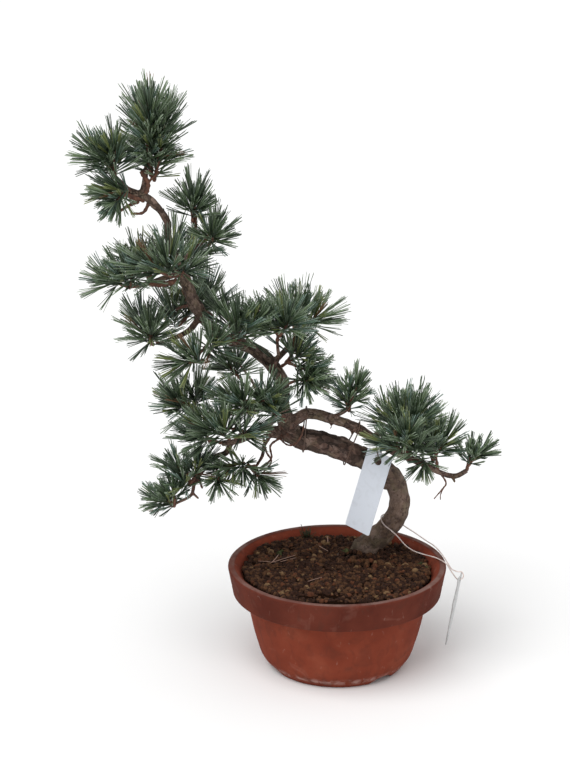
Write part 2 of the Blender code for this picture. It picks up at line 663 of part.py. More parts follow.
def cone_between(bm, start, end, start_radius, end_radius, sides):
    """A straight cone or tapered prism from one point to another."""
    axis = end - start
    turn = axis.to_track_quat("Z", "Y").to_matrix().to_4x4()
    place = Matrix.Translation((start + end) / 2) @ turn
    bmesh.ops.create_cone(bm, cap_ends=True, segments=sides, radius1=start_radius,
                          radius2=end_radius, depth=axis.length, matrix=place)


def spray_blade(bm, root, aim, across, length, shortened):
    """A thin blade with long pointed teeth that fan out from its root."""
    quarter = TOOTH_WIDTH / 4
    outline = [root - across * quarter]
    for k, share in zip(TEETH, shortened):
        turn = k * TOOTH_FAN
        if k > TEETH[0]:
            split = turn - TOOTH_FAN / 2
            outline.append(root + (aim * math.cos(split) + across * math.sin(split)) * length * TOOTH_SPLIT)
        outline.append(root + (aim * math.cos(turn) + across * math.sin(turn)) * length * share)
    outline.append(root + across * quarter)
    flat = bm.faces.new([bm.verts.new(point) for point in outline])
    lift = aim.cross(across).normalized() * SPRAY_THICKNESS
    raised = bmesh.ops.extrude_face_region(bm, geom=[flat])["geom"]
    bmesh.ops.translate(bm, verts=[v for v in raised if isinstance(v, bmesh.types.BMVert)], vec=lift)
    bmesh.ops.translate(bm, verts=bm.verts, vec=-lift / 2)


def spindle_between(bm, start, end, radius):
    """A slim core, pointed at both ends."""
    axis = end - start
    turn = axis.to_track_quat("Z", "Y").to_matrix().to_4x4()
    size = Matrix.Diagonal((radius, radius, axis.length / 2, 1))
    bmesh.ops.create_uvsphere(bm, u_segments=3, v_segments=2, radius=1.0,
                              matrix=Matrix.Translation((start + end) / 2) @ turn @ size)


def distances(points, starts, ends):
    """Distance from each point to each straight segment, as rows by columns."""
    along = ends - starts
    rel = points[:, None, :] - starts[None, :, :]
    t = np.einsum("pij,ij->pi", rel, along) / np.einsum("ij,ij->i", along, along)
    t = np.clip(t, 0, 1)
    return np.linalg.norm(rel - t[:, :, None] * along[None, :, :], axis=2), t


class Space:
    """Where the limbs are, and which mass each part of the crown belongs to."""

    def __init__(self, limbs, others):
        rows = [(limb.places[i], limb.places[i + 1], limb.radii[i], limb.radii[i + 1])
                for limb in limbs for i in range(len(limb.places) - 1)]
        rows += [(start, end, radius, radius) for line, radius in others
                 for start, end in zip(line, line[1:])]
        self.starts = np.array([row[0] for row in rows])
        self.ends = np.array([row[1] for row in rows])
        self.start_radii = np.array([row[2] for row in rows])
        self.end_radii = np.array([row[3] for row in rows])
        self.twigs = []
        self.owners = []

    def clear_of_limbs(self, points, margin):
        away, t = distances(points, self.starts, self.ends)
        surface = self.start_radii + (self.end_radii - self.start_radii) * t
        return bool(np.all(away - surface > margin[:, None]))

    def add_twig(self, owner, start, end):
        self.twigs.append((start, end))
        self.owners.append(owner)

    def own(self, owner, points, radii):
        """True where every point is nearer to its own mass than to any other."""
        starts = np.array([twig[0] for twig in self.twigs])
        ends = np.array([twig[1] for twig in self.twigs])
        mine = np.array([name == owner for name in self.owners])
        away, _ = distances(points, starts, ends)
        others = away[:, ~mine].min(axis=1)
        return bool(np.all(others - away[:, mine].min(axis=1) > 2 * radii + SPACE_MARGIN))


def sideways(axis, turn):
    """A unit vector square to the axis. At turn 0 it points right, or up from an axis that lies so."""
    level = Vector((1, 0, 0)) if abs(axis.x) < 0.8 else Vector((0, 0, 1))
    square = (level - axis * level.dot(axis)).normalized()
    square.rotate(Matrix.Rotation(turn, 3, axis))
    return square


def shoots_of(mass, limbs, seed):
    """The stem and the leafy shoots of one mass, as start, leafy start and tip."""
    rng = random.Random(seed)
    foot = limbs[mass.carrier].at(mass.at)
    root = mm(*mass.root)
    lean = Vector(mass.lean).normalized()
    shoots = [(foot, root, root + lean * mass.leafy * MM)]
    for k in range(1, mass.shoots):
        start = foot.lerp(root, 1 - SIDE_SHOOT_STEP * k)
        side = sideways(lean, math.radians(mass.turn) + GOLDEN_ANGLE * (k - 1))
        spread = math.radians(mass.spread)
        aim = lean * math.cos(spread) + side * math.sin(spread)
        leafy_start = start + aim * SIDE_SHOOT_STEM
        tip = leafy_start + aim * mass.leafy * MM * rng.uniform(0.8, 1.05)
        shoots.append((start, leafy_start, tip))
    return shoots


def spray_fits(root, aim, across, length, owner, space):
    """True where a spray keeps to its own mass's space and clear of every limb."""
    points, radii = [], []
    for k in TEETH:
        tooth = aim * math.cos(k * TOOTH_FAN) + across * math.sin(k * TOOTH_FAN)
        for share in TEST_SHARES:
            points.append(root + tooth * length * share)
            radii.append(TOOTH_WIDTH * (0.8 if share < 0.5 else 0.3))
    points, radii = np.array(points), np.array(radii)
    return space.clear_of_limbs(points, radii + LIMB_MARGIN) and space.own(owner, points, radii)


def sprays_on(shoot, mass, space, rng):
    """The sprays of one shoot that fit: root, aim, direction across, length and tooth lengths."""
    _, base, tip = shoot
    wanted = SPRAYS_ON_LONE_SHOOT if mass.shoots == 1 else SPRAYS_PER_SHOOT
    axis = (tip - base).normalized()
    kept = []
    phase = rng.uniform(0, 2 * math.pi)
    for i in range(SPRAY_TRIES * wanted):
        if len(kept) == wanted:
            break
        t = (i % wanted + 0.8) / wanted
        side = sideways(axis, phase + GOLDEN_ANGLE * i)
        opening = math.radians(OPENING_LOW + (OPENING_HIGH - OPENING_LOW) * t) + rng.uniform(-0.12, 0.12)
        aim = (axis * math.cos(opening) + side * math.sin(opening)).normalized()
        across = sideways(aim, rng.uniform(0, math.pi))
        length = mass.needle * MM * rng.uniform(0.86, 1.0)
        if i >= LONG_TRIES * wanted:
            length *= SHORT_SPRAY
        shortened = [rng.uniform(0.86, 1.0) for _ in TEETH]
        root = base.lerp(tip, 0.08 + 0.86 * t)
        if spray_fits(root, aim, across, length, mass.name, space):
            kept.append((root, aim, across, length, shortened))
    return kept


def keep_outer_shell(obj):
    """Keep an object's largest shell of joined faces. Sealed hollows are filled and loose scraps go."""
    bm = bmesh.new()
    bm.from_mesh(obj.data)
    bm.faces.ensure_lookup_table()
    shell_of = {}
    sizes = []
    for first in bm.faces:
        if first in shell_of:
            continue
        edge = [first]
        shell_of[first] = len(sizes)
        count = 0
        while edge:
            face = edge.pop()
            count += 1
            for link in face.edges:
                for other in link.link_faces:
                    if other not in shell_of:
                        shell_of[other] = len(sizes)
                        edge.append(other)
        sizes.append(count)
    largest = sizes.index(max(sizes))
    bmesh.ops.delete(bm, geom=[face for face in bm.faces if shell_of[face] != largest], context="FACES")
    bm.to_mesh(obj.data)
    bm.free()


def make_mass(mass, shoots, space, parents, collection, surface, seed):
    """One mass: its stem, its shoots' cores and their needles, joined into one solid."""
    rng = random.Random(seed)
    bm = bmesh.new()
    foot, base, _ = shoots[0]
    cone_between(bm, foot, base, TWIG_RADIUS * 1.25, TWIG_RADIUS, 3)
    stem = mesh_object(mass.name, bm, collection)
    stem = cut_clear(stem, parents, surface)
    pieces = new_collection("pieces")

    def add(shape, *sizes):
        piece = bmesh.new()
        shape(piece, *sizes)
        mesh_object("piece", piece, pieces)

    for k, shoot in enumerate(shoots):
        start, leafy, tip = shoot
        if k:
            add(cone_between, start, leafy, TWIG_RADIUS, TWIG_RADIUS * 0.8, 3)
        add(spindle_between, leafy.lerp(tip, -CORE_OVERLAP), tip, CORE_RADIUS)
        for spray in sprays_on(shoot, mass, space, rng):
            add(spray_blade, *spray)
    keep_outer_shell(boolean(stem, "UNION", pieces, solver="MANIFOLD"))


def shade_round(obj):
    """Smooth shading over gentle bends, with real edges kept sharp."""
    obj.data.shade_smooth()
    obj.data.set_sharp_from_angle(angle=SMOOTH_ANGLE)


def centre_on_origin(collection):
    """Move every part sideways, so that the middle of their common box is at x = y = 0."""
    corners = np.array([part.matrix_world @ vertex.co for part in collection.objects
                        for vertex in part.data.vertices])
    middle = (corners.min(axis=0) + corners.max(axis=0)) / 2
    for part in collection.objects:
        part.data.transform(Matrix.Translation((-middle[0], -middle[1], 0)) @ part.matrix_world)
        part.matrix_world = Matrix.Identity(4)


def main():
    clear_scene()
    tree = new_collection("japanese_white_pine_bonsai")
    bark = material("bark", (0.16, 0.10, 0.07), 0.9)
    needle = material("pine_needles", (0.07, 0.16, 0.10), 0.6)
    clay = material("fired_clay", (0.27, 0.07, 0.04), 0.75)
    earth = material("soil", (0.05, 0.03, 0.02), 1.0)
    white = material("white_plastic", (0.68, 0.72, 0.80), 0.45)
    wire = material("brown_wire", (0.10, 0.05, 0.03), 0.5)
    thread = material("white_string", (0.62, 0.58, 0.52), 0.8)

    trunk_parts = trunk_limbs()
    limbs = {"trunk": trunk_parts[0]}
    for bough in BOUGHS:
        sides = 8 if bough.radii[0] > 3.5 else 6
        samples = catmull_rom(tapered(bough.line, bough.radii), BOUGH_RING_STEP)
        limbs[bough.name] = Limb(bough.name, samples, sides)

    make_pot(tree, clay)
    make_soil(tree, earth)
    make_trunk(trunk_parts, tree, bark)
    carriers = {"trunk": trunk_parts[:2]}
    for bough in BOUGHS:
        made = limbs[bough.name].solid(tree)
        cut_clear(made, carriers[bough.parent], bark)
        carriers[bough.name] = [limbs[bough.name]]

    make_tag(tree, white)
    make_slip(tree, white)
    string = string_route(limbs["trunk"])
    closed_tube("label_string", string, STRING_RADIUS, STRING_STEP, tree, thread)
    ties = tie_routes(limbs["trunk"], limbs["bough_right"])
    for name, route in ties.items():
        closed_tube(name, route, WIRE_RADIUS, WIRE_STEP, tree, wire)

    wires = [([mm(*point) for point in route], WIRE_RADIUS) for route in ties.values()]
    space = Space([*trunk_parts, *[limbs[bough.name] for bough in BOUGHS]], tag_clearance() + wires)
    grown = {}
    for number, mass in enumerate(MASSES):
        grown[mass.name] = shoots_of(mass, limbs, 100 + number)
        for start, leafy, tip in grown[mass.name]:
            space.add_twig(mass.name, start, leafy)
            space.add_twig(mass.name, leafy, tip)
    for number, mass in enumerate(MASSES):
        make_mass(mass, grown[mass.name], space, carriers[mass.carrier], tree, needle, 500 + number)

    for part in tree.objects:
        if not part.name.startswith("foliage"):
            shade_round(part)
    centre_on_origin(tree)


main()
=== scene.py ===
"""The looks of a Japanese white pine bonsai in its clay pot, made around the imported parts.

Lengths are in metres, and MM turns a size in millimetres into metres. Places on the plant are
given in millimetres from the pot's axis, at the level of its underside, and mm() sets them in
the frame.
"""
import math
import random
from collections import namedtuple

import bmesh
import bpy
import numpy as np
from mathutils import Matrix, Vector, noise
from mathutils.kdtree import KDTree


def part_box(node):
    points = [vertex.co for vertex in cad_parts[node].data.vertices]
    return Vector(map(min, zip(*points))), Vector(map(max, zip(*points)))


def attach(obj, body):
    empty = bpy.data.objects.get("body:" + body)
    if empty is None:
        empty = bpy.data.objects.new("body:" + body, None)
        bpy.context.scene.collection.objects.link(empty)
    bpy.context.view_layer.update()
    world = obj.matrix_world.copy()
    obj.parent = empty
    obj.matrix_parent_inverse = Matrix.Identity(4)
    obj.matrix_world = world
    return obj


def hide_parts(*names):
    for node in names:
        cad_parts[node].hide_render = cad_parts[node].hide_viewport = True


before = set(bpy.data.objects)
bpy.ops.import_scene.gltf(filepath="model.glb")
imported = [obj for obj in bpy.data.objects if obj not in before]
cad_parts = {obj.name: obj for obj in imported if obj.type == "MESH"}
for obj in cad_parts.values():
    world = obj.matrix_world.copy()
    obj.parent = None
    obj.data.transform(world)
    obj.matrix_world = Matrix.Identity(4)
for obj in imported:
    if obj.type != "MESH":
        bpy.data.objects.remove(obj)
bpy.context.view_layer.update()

MM = 0.001
GAP = 0.3 * MM
GOLDEN_ANGLE = math.radians(137.5)
BODY = "root"
POT_LOW, POT_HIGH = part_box("pot")
POT_AXIS = Vector(((POT_LOW.x + POT_HIGH.x) / 2, (POT_LOW.y + POT_HIGH.y) / 2, 0))

# Camera: place from the pot's axis in millimetres, pitch below the horizon, and lens
CAMERA_PLACE = (-52.5, -1651, 777)
CAMERA_PITCH = 0.283
CAMERA_LENS = 83.24
CAMERA_SENSOR = 36

# Lamps: name, which way the light falls, strength and width of the source in degrees
LAMPS = (("key", (0.45, 0.55, -1.1), 2.1, 50), ("fill", (-1.0, 0.6, -0.7), 0.55, 90))
SKY_STRENGTH = 0.62

# Pot profile in millimetres: radius, height and how far each corner is rounded
POT_OUTER = ((98.5, 99.5, 3), (103, 104.6, 2.5), (108, 105, 1.2), (110, 103.6, 1.2), (105, 75.8, 2),
             (92.5, 75, 1.5), (84.3, 36, 9), (77.4, 12.6, 4), (69, 0.8, 1.5), (67, 0, 0.4))
POT_UNDER = ((54, 0, 1), (53, 7, 1), (9, 7, 1), (9, 14, 1))
POT_INNER = ((58, 14, 4), (68, 23, 4), (83, 78, 4), (96, 94, 3))
POT_TURNS = 288
POT_STEP = 2.2
CORNER_STEPS = 5
NOTCH_TURNS = (77, 206, 309)
NOTCH_RADIUS = 18
NOTCH_HEIGHT = 7
SOIL_TOP = 97
SOIL_RADIUS = 95.5
SOIL_CALM = (37, 48)
SOIL_RISE = 2.2
SOIL_LUMP = 21
SOIL_LUMP_HEIGHT = 3.0

# Trunk: centreline and radius in millimetres, from under the soil to the growing tip
TRUNK_LINE = (
    (27, 38, 88, 17.5),
    (36, 42, 108, 13.6),
    (51, 40, 125, 11.6),
    (61, 37, 141, 10.9),
    (64, 33, 158, 10.4),
    (61, 30, 175, 10.4),
    (52, 27, 190, 10.7),
    (32, 22, 206, 11.1),
    (-13, 14, 227, 11.5),
    (-41, 10, 236, 10.2),
    (-55, 3, 264, 8.3),
    (-57, 0, 299, 6.9),
    (-79, 9, 323, 6.7),
    (-114, 7, 340, 5.5),
    (-136, -4, 368, 6.3),
    (-149, -12, 403, 5.6),
    (-163, -16, 440, 3.3),
    (-164, -17, 459, 3.4),
    (-181, -20, 480, 3.8),
    (-200, -21, 489, 3.0),
    (-213, -22, 503, 2.2),
)
STUB_LINE = ((-36, 12, 233), (-54, 10, 239), (-70, 8, 241))
STUB_RADII = (9.6, 5.2)
ROOTS = ((168, 19), (250, 19), (325, 21), (40, 21), (110, 22))
ROOT_RADII = (7.5, 2.0)
LIMB_STEP = 2.5 * MM

# Boughs: name, parent, centreline in millimetres, radius at the root and at the tip
Bough = namedtuple("Bough", "name parent line radii")
BOUGHS = (
    Bough("bough_apex", "trunk",
          ((-187, -20, 484), (-184, -18, 495), (-183, -15, 508)), (3.0, 2.4)),
    Bough("bough_upper_right", "trunk",
          ((-153, -14, 416), (-143, -10, 427), (-131, -6, 435)), (2.8, 1.8)),
    Bough("bough_upper_left", "trunk",
          ((-151, -12, 407), (-167, -12, 402), (-194, -14, 394), (-206, -15, 399)), (3.2, 1.9)),
    Bough("bough_mid_left", "trunk",
          ((-134, -2, 363), (-147, -5, 347), (-175, -8, 336)), (3.4, 2.0)),
    Bough("bough_mid_back", "trunk",
          ((-102, 9, 334), (-97, 30, 334), (-94, 44, 336)), (3.2, 2.2)),
    Bough("bough_mid_top", "trunk",
          ((-57, 0, 292), (-65, -11, 310), (-59, -13, 322), (-60, -13, 339)), (2.4, 1.7)),
    Bough("bough_mid_right", "trunk",
          ((-64, 5, 313), (-52, 16, 323), (-43, 26, 332)), (3.4, 2.2)),
    Bough("bough_low_west", "trunk",
          ((-56, 0, 276), (-82, 10, 264), (-109, 12, 259), (-130, 8, 260)), (4.0, 2.2)),
    Bough("bough_low_back", "trunk",
          ((-54, 2, 272), (-64, 26, 266), (-76, 42, 264)), (3.6, 2.2)),
    Bough("bough_lower_left", "trunk",
          ((-54, 2, 266), (-75, -10, 250), (-97, -16, 240), (-114, -19, 238)), (4.2, 2.8)),
    Bough("bough_lower_drop", "bough_lower_left",
          ((-105, -17, 238), (-111, -13, 226), (-124, -10, 219), (-141, -8, 195),
           (-146, -8, 180), (-162, -8, 171)), (3.1, 1.7)),
    Bough("bough_hanging", "trunk",
          ((-66, 8, 240), (-73, 0, 229), (-75, -4, 220), (-81, -6, 210)), (2.2, 1.5)),
    Bough("bough_right", "trunk",
          ((-47, 6, 249), (-39, 4, 257), (-30, 2, 262), (-21, 0, 262), (-13, -3, 260), (4, -7, 256),
           (21, -11, 249), (36, -13, 240), (52, -14, 229)), (5.8, 4.1)),
    Bough("bough_right_end", "bough_right",
          ((52.5, -14, 228.7), (81, -10, 215), (102, -6, 203), (117, -4, 199), (128, -2, 204)),
          (4.1, 2.4)),
    Bough("bough_right_twig", "bough_right",
          ((-8, -4, 259), (2, -11, 266), (8, -13, 270)), (2.6, 1.8)),
    Bough("bough_right_back", "bough_right",
          ((33, -13, 242), (45, 12, 241), (53, 28, 239)), (3.2, 2.2)),
)
# Short dead stubs on the limbs: centreline in millimetres, radius at both ends
STUBS = (
    (((-44, 9, 236), (-52, 7, 241), (-57, 6, 246)), (4.0, 0.8)),
    (((-60, 9, 240), (-70, 8, 245), (-76, 7, 246)), (3.0, 0.6)),
    (((-62, 9, 239), (-72, 8, 238), (-79, 8, 236)), (2.6, 0.5)),
    (((56, 27, 180), (50, 26, 178), (47, 25, 178)), (6.0, 3.6)),
    (((-137, -10, 197), (-135, -11, 190), (-134, -11, 188)), (1.7, 1.1)),
    (((-144, -9, 183), (-140, -10, 179), (-138, -10, 177)), (1.7, 1.0)),
    (((113, -5, 200), (115, -6, 195), (116, -6, 193)), (1.8, 1.2)),
    (((-204, -15, 399), (-204, -16, 392), (-206, -17, 387)), (1.3, 0.5)),
    (((20, 45, 101), (11, 47, 100), (4, 40, 99.5), (0, 31, 98)), (2.6, 1.2)),
    (((-8, -4, 257), (-7, -6, 251), (-8, -7, 249)), (1.6, 0.6)),
    (((12, -9, 250), (13, -10, 245), (12, -11, 243)), (1.5, 0.5)),
)

# Masses of foliage: name, limb that carries it, place along that limb (1 is its tip), root of
# the main leafy shoot, which way the shoots lean, and then: length of a leafy shoot, number of
# shoots, spread of the side shoots and turn of the first one in degrees, and needle length
Mass = namedtuple("Mass", "name carrier at root lean leafy shoots spread turn needle")
MASSES = [Mass(*row) for row in (
    ("foliage_apex_right", "bough_apex", 1.0, (-174, -16, 493), (0, 0, 11), 64, 4, 11, 0, 33),
    ("foliage_apex_left", "trunk", 1.0, (-210, -27, 502), (-2, 0, 8), 20, 3, 24, 180, 32),
    ("foliage_apex_low", "trunk", 0.97, (-196, -38, 491), (-6, -1, 0), 14, 3, 50, 100, 31),
    ("foliage_upper_right_top", "bough_upper_right", 0.7, (-140, -12, 460), (2, 0, 8), 11, 2, 16, 180, 33),
    ("foliage_upper_right_side", "bough_upper_right", 1.0, (-124, -6, 432), (2, -1, 7), 15, 2, 50, 270, 32),
    ("foliage_upper_left_end", "bough_upper_left", 0.9, (-199, -20, 393), (-3, -1, 6), 15, 3, 45, 180, 34),
    ("foliage_upper_left_top", "bough_upper_left", 0.55, (-181, 2, 399), (0, 2, 8), 12, 2, 40, 180, 33),
    ("foliage_upper_front", "trunk", 0.775, (-160, -48, 412), (-1, -2, 8), 13, 3, 58, 180, 38),
    ("foliage_upper_back", "trunk", 0.78, (-164, 44, 405), (1, 5, 6), 18, 2, 50, 0, 38),
    ("foliage_mid_left", "bough_mid_left", 1.0, (-182, -12, 335), (0, -1, 8), 17, 3, 44, 130, 33),
    ("foliage_mid_left_back", "trunk", 0.72, (-161, 30, 340), (-1, 3, 8), 18, 2, 45, 0, 34),
    ("foliage_mid_front", "trunk", 0.655, (-131, -44, 324), (-3, -2, 5), 11, 3, 56, 200, 33),
    ("foliage_mid_centre", "trunk", 0.62, (-99, -30, 342), (1, -1, 8), 20, 3, 36, 0, 34),
    ("foliage_mid_top", "bough_mid_top", 1.0, (-58, -15, 347), (-1, -1, 8), 14, 3, 40, 180, 34),
    ("foliage_mid_right_back", "bough_mid_right", 1.0, (-42, 36, 338), (2, 2, 7), 18, 3, 42, 0, 37),
    ("foliage_mid_right", "trunk", 0.53, (-48, -12, 320), (5, -2, 3), 15, 3, 45, 180, 31),
    ("foliage_mid_right_low", "trunk", 0.5, (-35, -8, 301), (5, -2, 1), 10, 2, 45, 90, 28),
    ("foliage_mid_back", "bough_mid_back", 1.0, (-131, 62, 348), (0, 3, 8), 18, 2, 45, 180, 38),
    ("foliage_low_west", "bough_low_west", 1.0, (-146, 4, 261), (-4, -2, 5), 18, 3, 48, 0, 33),
    ("foliage_low_front", "trunk", 0.475, (-90, -44, 277), (-2, -2, 8), 14, 3, 48, 180, 33),
    ("foliage_low_right", "trunk", 0.43, (-61, -40, 272), (0, -2, 8), 8, 2, 34, 180, 30),
    ("foliage_low_back", "bough_low_back", 1.0, (-100, 50, 286), (0, 4, 7), 14, 2, 45, 180, 30),
    ("foliage_lower_front", "bough_lower_left", 0.55, (-109, -46, 250), (-1, -2, 8), 14, 3, 54, 180, 36),
    ("foliage_lower_front_left", "bough_lower_left", 1.0, (-127, -30, 242), (-7, -1, 3), 12, 2, 40, 0, 31),
    ("foliage_hanging", "bough_hanging", 1.0, (-94, -14, 216), (0, -5, -1), 10, 3, 66, 180, 28),
    ("foliage_low_left_top", "bough_lower_drop", 0.48, (-150, -14, 189), (-2, -1, 7), 15, 3, 42, 0, 29),
    ("foliage_low_drop", "bough_lower_drop", 0.3, (-119, -22, 204), (1, -6, -1), 7, 1, 40, 0, 26),
    ("foliage_low_left_end", "bough_lower_drop", 1.0, (-163, -10, 168), (-4, -1, 4), 9, 3, 46, 0, 26),
    ("foliage_right_near", "bough_right_twig", 1.0, (10, -16, 269), (-1, -1, 8), 18, 2, 22, 0, 28),
    ("foliage_right_front", "bough_right", 0.88, (76, -36, 231), (-4, -1, 7), 15, 3, 36, 180, 34),
    ("foliage_right_top", "bough_right_end", 0.15, (69, -6, 235), (0, 0, 8), 29, 3, 16, 0, 34),
    ("foliage_right_mid", "bough_right_end", 0.62, (92, -6, 217), (0, -1, 8), 17, 3, 28, 0, 32),
    ("foliage_right_low", "bough_right_end", 0.25, (84, -22, 222), (-1, -5, -4), 6, 1, 40, 0, 25),
    ("foliage_right_end", "bough_right_end", 1.0, (129, -3, 210), (1, -1, 7), 9, 2, 30, 0, 25),
    ("foliage_right_back", "bough_right_back", 1.0, (66, 46, 220), (2, 4, 6), 20, 3, 45, 0, 36),
)]
# Bare twigs: part of the crown, centreline in millimetres, radius at both ends
BARE_TWIGS = (
    ("top", ((-184, -20, 479), (-196, -22, 482), (-208, -24, 490), (-214, -25, 497)), (3.0, 1.8)),
    ("top", ((-185, -20, 481), (-181, -20, 494), (-187, -21, 506)), (2.8, 1.9)),
    ("top", ((-155, -13, 399), (-171, -15, 396), (-186, -16, 397), (-199, -16, 394)), (3.0, 1.8)),
    ("top", ((-180, -18, 476), (-186, -22, 467), (-197, -26, 467)), (1.9, 1.0)),
    ("top", ((-190, -18, 477), (-201, -24, 473), (-210, -30, 467)), (2.0, 1.0)),
    ("top", ((-185, -18, 490), (-177, -20, 499), (-170, -22, 506)), (1.6, 0.9)),
    ("top", ((-193, -20, 484), (-202, -25, 484), (-208, -30, 490)), (2.2, 1.4)),
    ("top", ((-181, -12, 394), (-183, -15, 401), (-185, -16, 406)), (1.7, 0.9)),
    ("top", ((-192, -14, 393), (-196, -16, 398), (-199, -17, 402)), (1.6, 0.9)),
    ("low", ((-66, 6, 239), (-74, 0, 229), (-75, -4, 219), (-82, -8, 208)), (1.3, 0.9)),
    ("low", ((-58, 6, 235), (-67, 0, 229), (-66, -6, 218), (-75, -8, 210)), (1.2, 0.8)),
    ("low", ((-74, 6, 236), (-71, -3, 224), (-66, -8, 215), (-75, -12, 204)), (1.2, 0.7)),
    ("low", ((-58, 6, 235), (-50, -6, 232), (-42, -8, 234), (-36, -7, 243), (-34, -4, 252)), (0.9, 0.9)),
    ("right", ((102, -7, 202), (107, -9, 193), (102, -11, 186), (95, -13, 178)), (1.0, 0.5)),
    ("right", ((105, -10, 190), (102, -8, 181), (102, -7, 175)), (0.7, 0.4)),
)
# Needle pieces: each joins the needles of the masses whose names start so
CROWN_PARTS = (
    ("top", ("foliage_apex", "foliage_upper")),
    ("middle", ("foliage_mid",)),
    ("low", ("foliage_low", "foliage_hanging")),
    ("right", ("foliage_right",)),
)
SIDE_SHOOT_STEM = 9 * MM
SIDE_SHOOT_STEP = 0.16
FASCICLES_AT_TIP = 19
FASCICLES_PER_LENGTH = 1.0
NEEDLES_PER_FASCICLE = 5
OPENING_SCATTER = 0.22
# Length of a bundle over the mass's needle length: most are short, some reach out of the tuft
SHORT_LENGTH = (0.64, 0.92)
LONG_LENGTH = (0.94, 1.14)
LONG_SHARE = 0.38
DROOPING_DROPPED = 0.45
BUNDLE_SPREAD = (0.015, 0.085)
NEEDLE_WIDTH = 1.05 * MM
NEEDLE_STATIONS = (0.0, 0.5, 0.96)
NEEDLE_TAPER = (0.8, 1.0, 0.85)
TWIG_RADIUS = 1.5 * MM
BARE_TWIG_STEP = 1.8 * MM
LIMB_MARGIN = 0.4 * MM

# Needle colours, outer face and inner faces, and how often a spray is dealt each
NEEDLE_COLOURS = (
    ("needle_mid", (0.054, 0.092, 0.038), (0.185, 0.245, 0.160), 35),
    ("needle_dark", (0.024, 0.044, 0.020), (0.085, 0.122, 0.078), 28),
    ("needle_light", (0.105, 0.160, 0.070), (0.310, 0.385, 0.275), 18),
    ("needle_blue", (0.060, 0.116, 0.074), (0.235, 0.315, 0.275), 11),
    ("needle_yellow", (0.130, 0.165, 0.042), (0.250, 0.290, 0.120), 6),
    ("needle_dead", (0.150, 0.080, 0.036), (0.220, 0.130, 0.068), 1),
)


def mm(*values):
    """A point given in millimetres from the pot's axis, as a vector in the frame."""
    return Vector(values) * MM + POT_AXIS


def heading(degrees):
    turn = math.radians(degrees)
    return Vector((math.cos(turn), math.sin(turn), 0))


# Materials

def new_material(name, colour, roughness):
    """A material with its shader, its node tree and a colour to start from."""
    made = bpy.data.materials.new(name)
    made.use_nodes = True
    tree = made.node_tree
    shader = tree.nodes["Principled BSDF"]
    shader.inputs["Base Color"].default_value = (*colour, 1)
    shader.inputs["Roughness"].default_value = roughness
    made.diffuse_color = (*colour, 1)
    return made, tree, shader


def place_node(tree):
    return tree.nodes.new("ShaderNodeTexCoord").outputs["Object"]


def noise_node(tree, size, detail=4, distortion=0.0, stretch=None, source=None):
    """A noise pattern whose patches are about the given size, in metres or in the source's unit."""
    node = tree.nodes.new("ShaderNodeTexNoise")
    node.inputs["Scale"].default_value = 1 / size
    node.inputs["Detail"].default_value = detail
    node.inputs["Distortion"].default_value = distortion
    source = source or place_node(tree)
    if stretch:
        mapping = tree.nodes.new("ShaderNodeMapping")
        mapping.inputs["Scale"].default_value = stretch
        tree.links.new(source, mapping.inputs["Vector"])
        source = mapping.outputs["Vector"]
    tree.links.new(source, node.inputs["Vector"])
    return node.outputs["Fac"]


def bent_node(tree, source, size, amount):
    """The source's places, moved about by a noise pattern."""
    pattern = tree.nodes.new("ShaderNodeTexNoise")
    pattern.inputs["Scale"].default_value = 1 / size
    tree.links.new(source, pattern.inputs["Vector"])
    moved = tree.nodes.new("ShaderNodeVectorMath")
    moved.operation = "MULTIPLY_ADD"
    tree.links.new(pattern.outputs["Color"], moved.inputs[0])
    moved.inputs[1].default_value = (amount, amount, amount)
    tree.links.new(source, moved.inputs[2])
    return moved.outputs["Vector"]


def cell_node(tree, source, feature, output):
    """A pattern of cells: a random grey for each one, or the distance to its edge."""
    node = tree.nodes.new("ShaderNodeTexVoronoi")
    node.feature = feature
    node.inputs["Scale"].default_value = 1
    tree.links.new(source, node.inputs["Vector"])
    return node.outputs[output]


def ramp_node(tree, source, stops):
    """A colour ramp with (position, colour) stops."""
    node = tree.nodes.new("ShaderNodeValToRGB")
    ramp = node.color_ramp
    while len(ramp.elements) < len(stops):
        ramp.elements.new(0.5)
    for element, (position, colour) in zip(ramp.elements, stops):
        element.position = position
        element.color = (*colour, 1)
    tree.links.new(source, node.inputs["Fac"])
    return node.outputs["Color"]


def mask_node(tree, source, low, high):
    """A number from 0 to 1 as the source runs from low to high."""
    node = tree.nodes.new("ShaderNodeMapRange")
    node.inputs["From Min"].default_value = low
    node.inputs["From Max"].default_value = high
    tree.links.new(source, node.inputs["Value"])
    return node.outputs["Result"]


def math_node(tree, operation, first, second):
    node = tree.nodes.new("ShaderNodeMath")
    node.operation = operation
    for i, value in enumerate((first, second)):
        if isinstance(value, (int, float)):
            node.inputs[i].default_value = value
        else:
            tree.links.new(value, node.inputs[i])
    return node.outputs["Value"]


def times_node(tree, first, second):
    return math_node(tree, "MULTIPLY", first, second)


def mix_node(tree, share, first, second):
    """A mix of two colours, each a socket or a plain colour."""
    node = tree.nodes.new("ShaderNodeMix")
    node.data_type = "RGBA"
    tree.links.new(share, node.inputs["Factor"])
    for socket, value in (("A", first), ("B", second)):
        target = next(s for s in node.inputs if s.name == socket and s.type == "RGBA")
        if isinstance(value, tuple):
            target.default_value = (*value, 1)
        else:
            tree.links.new(value, target)
    return next(s for s in node.outputs if s.type == "RGBA")


def attribute_node(tree, name, output="Fac"):
    node = tree.nodes.new("ShaderNodeAttribute")
    node.attribute_name = name
    return node.outputs[output]


def height_node(tree):
    node = tree.nodes.new("ShaderNodeSeparateXYZ")
    tree.links.new(place_node(tree), node.inputs["Vector"])
    return node.outputs["Z"]


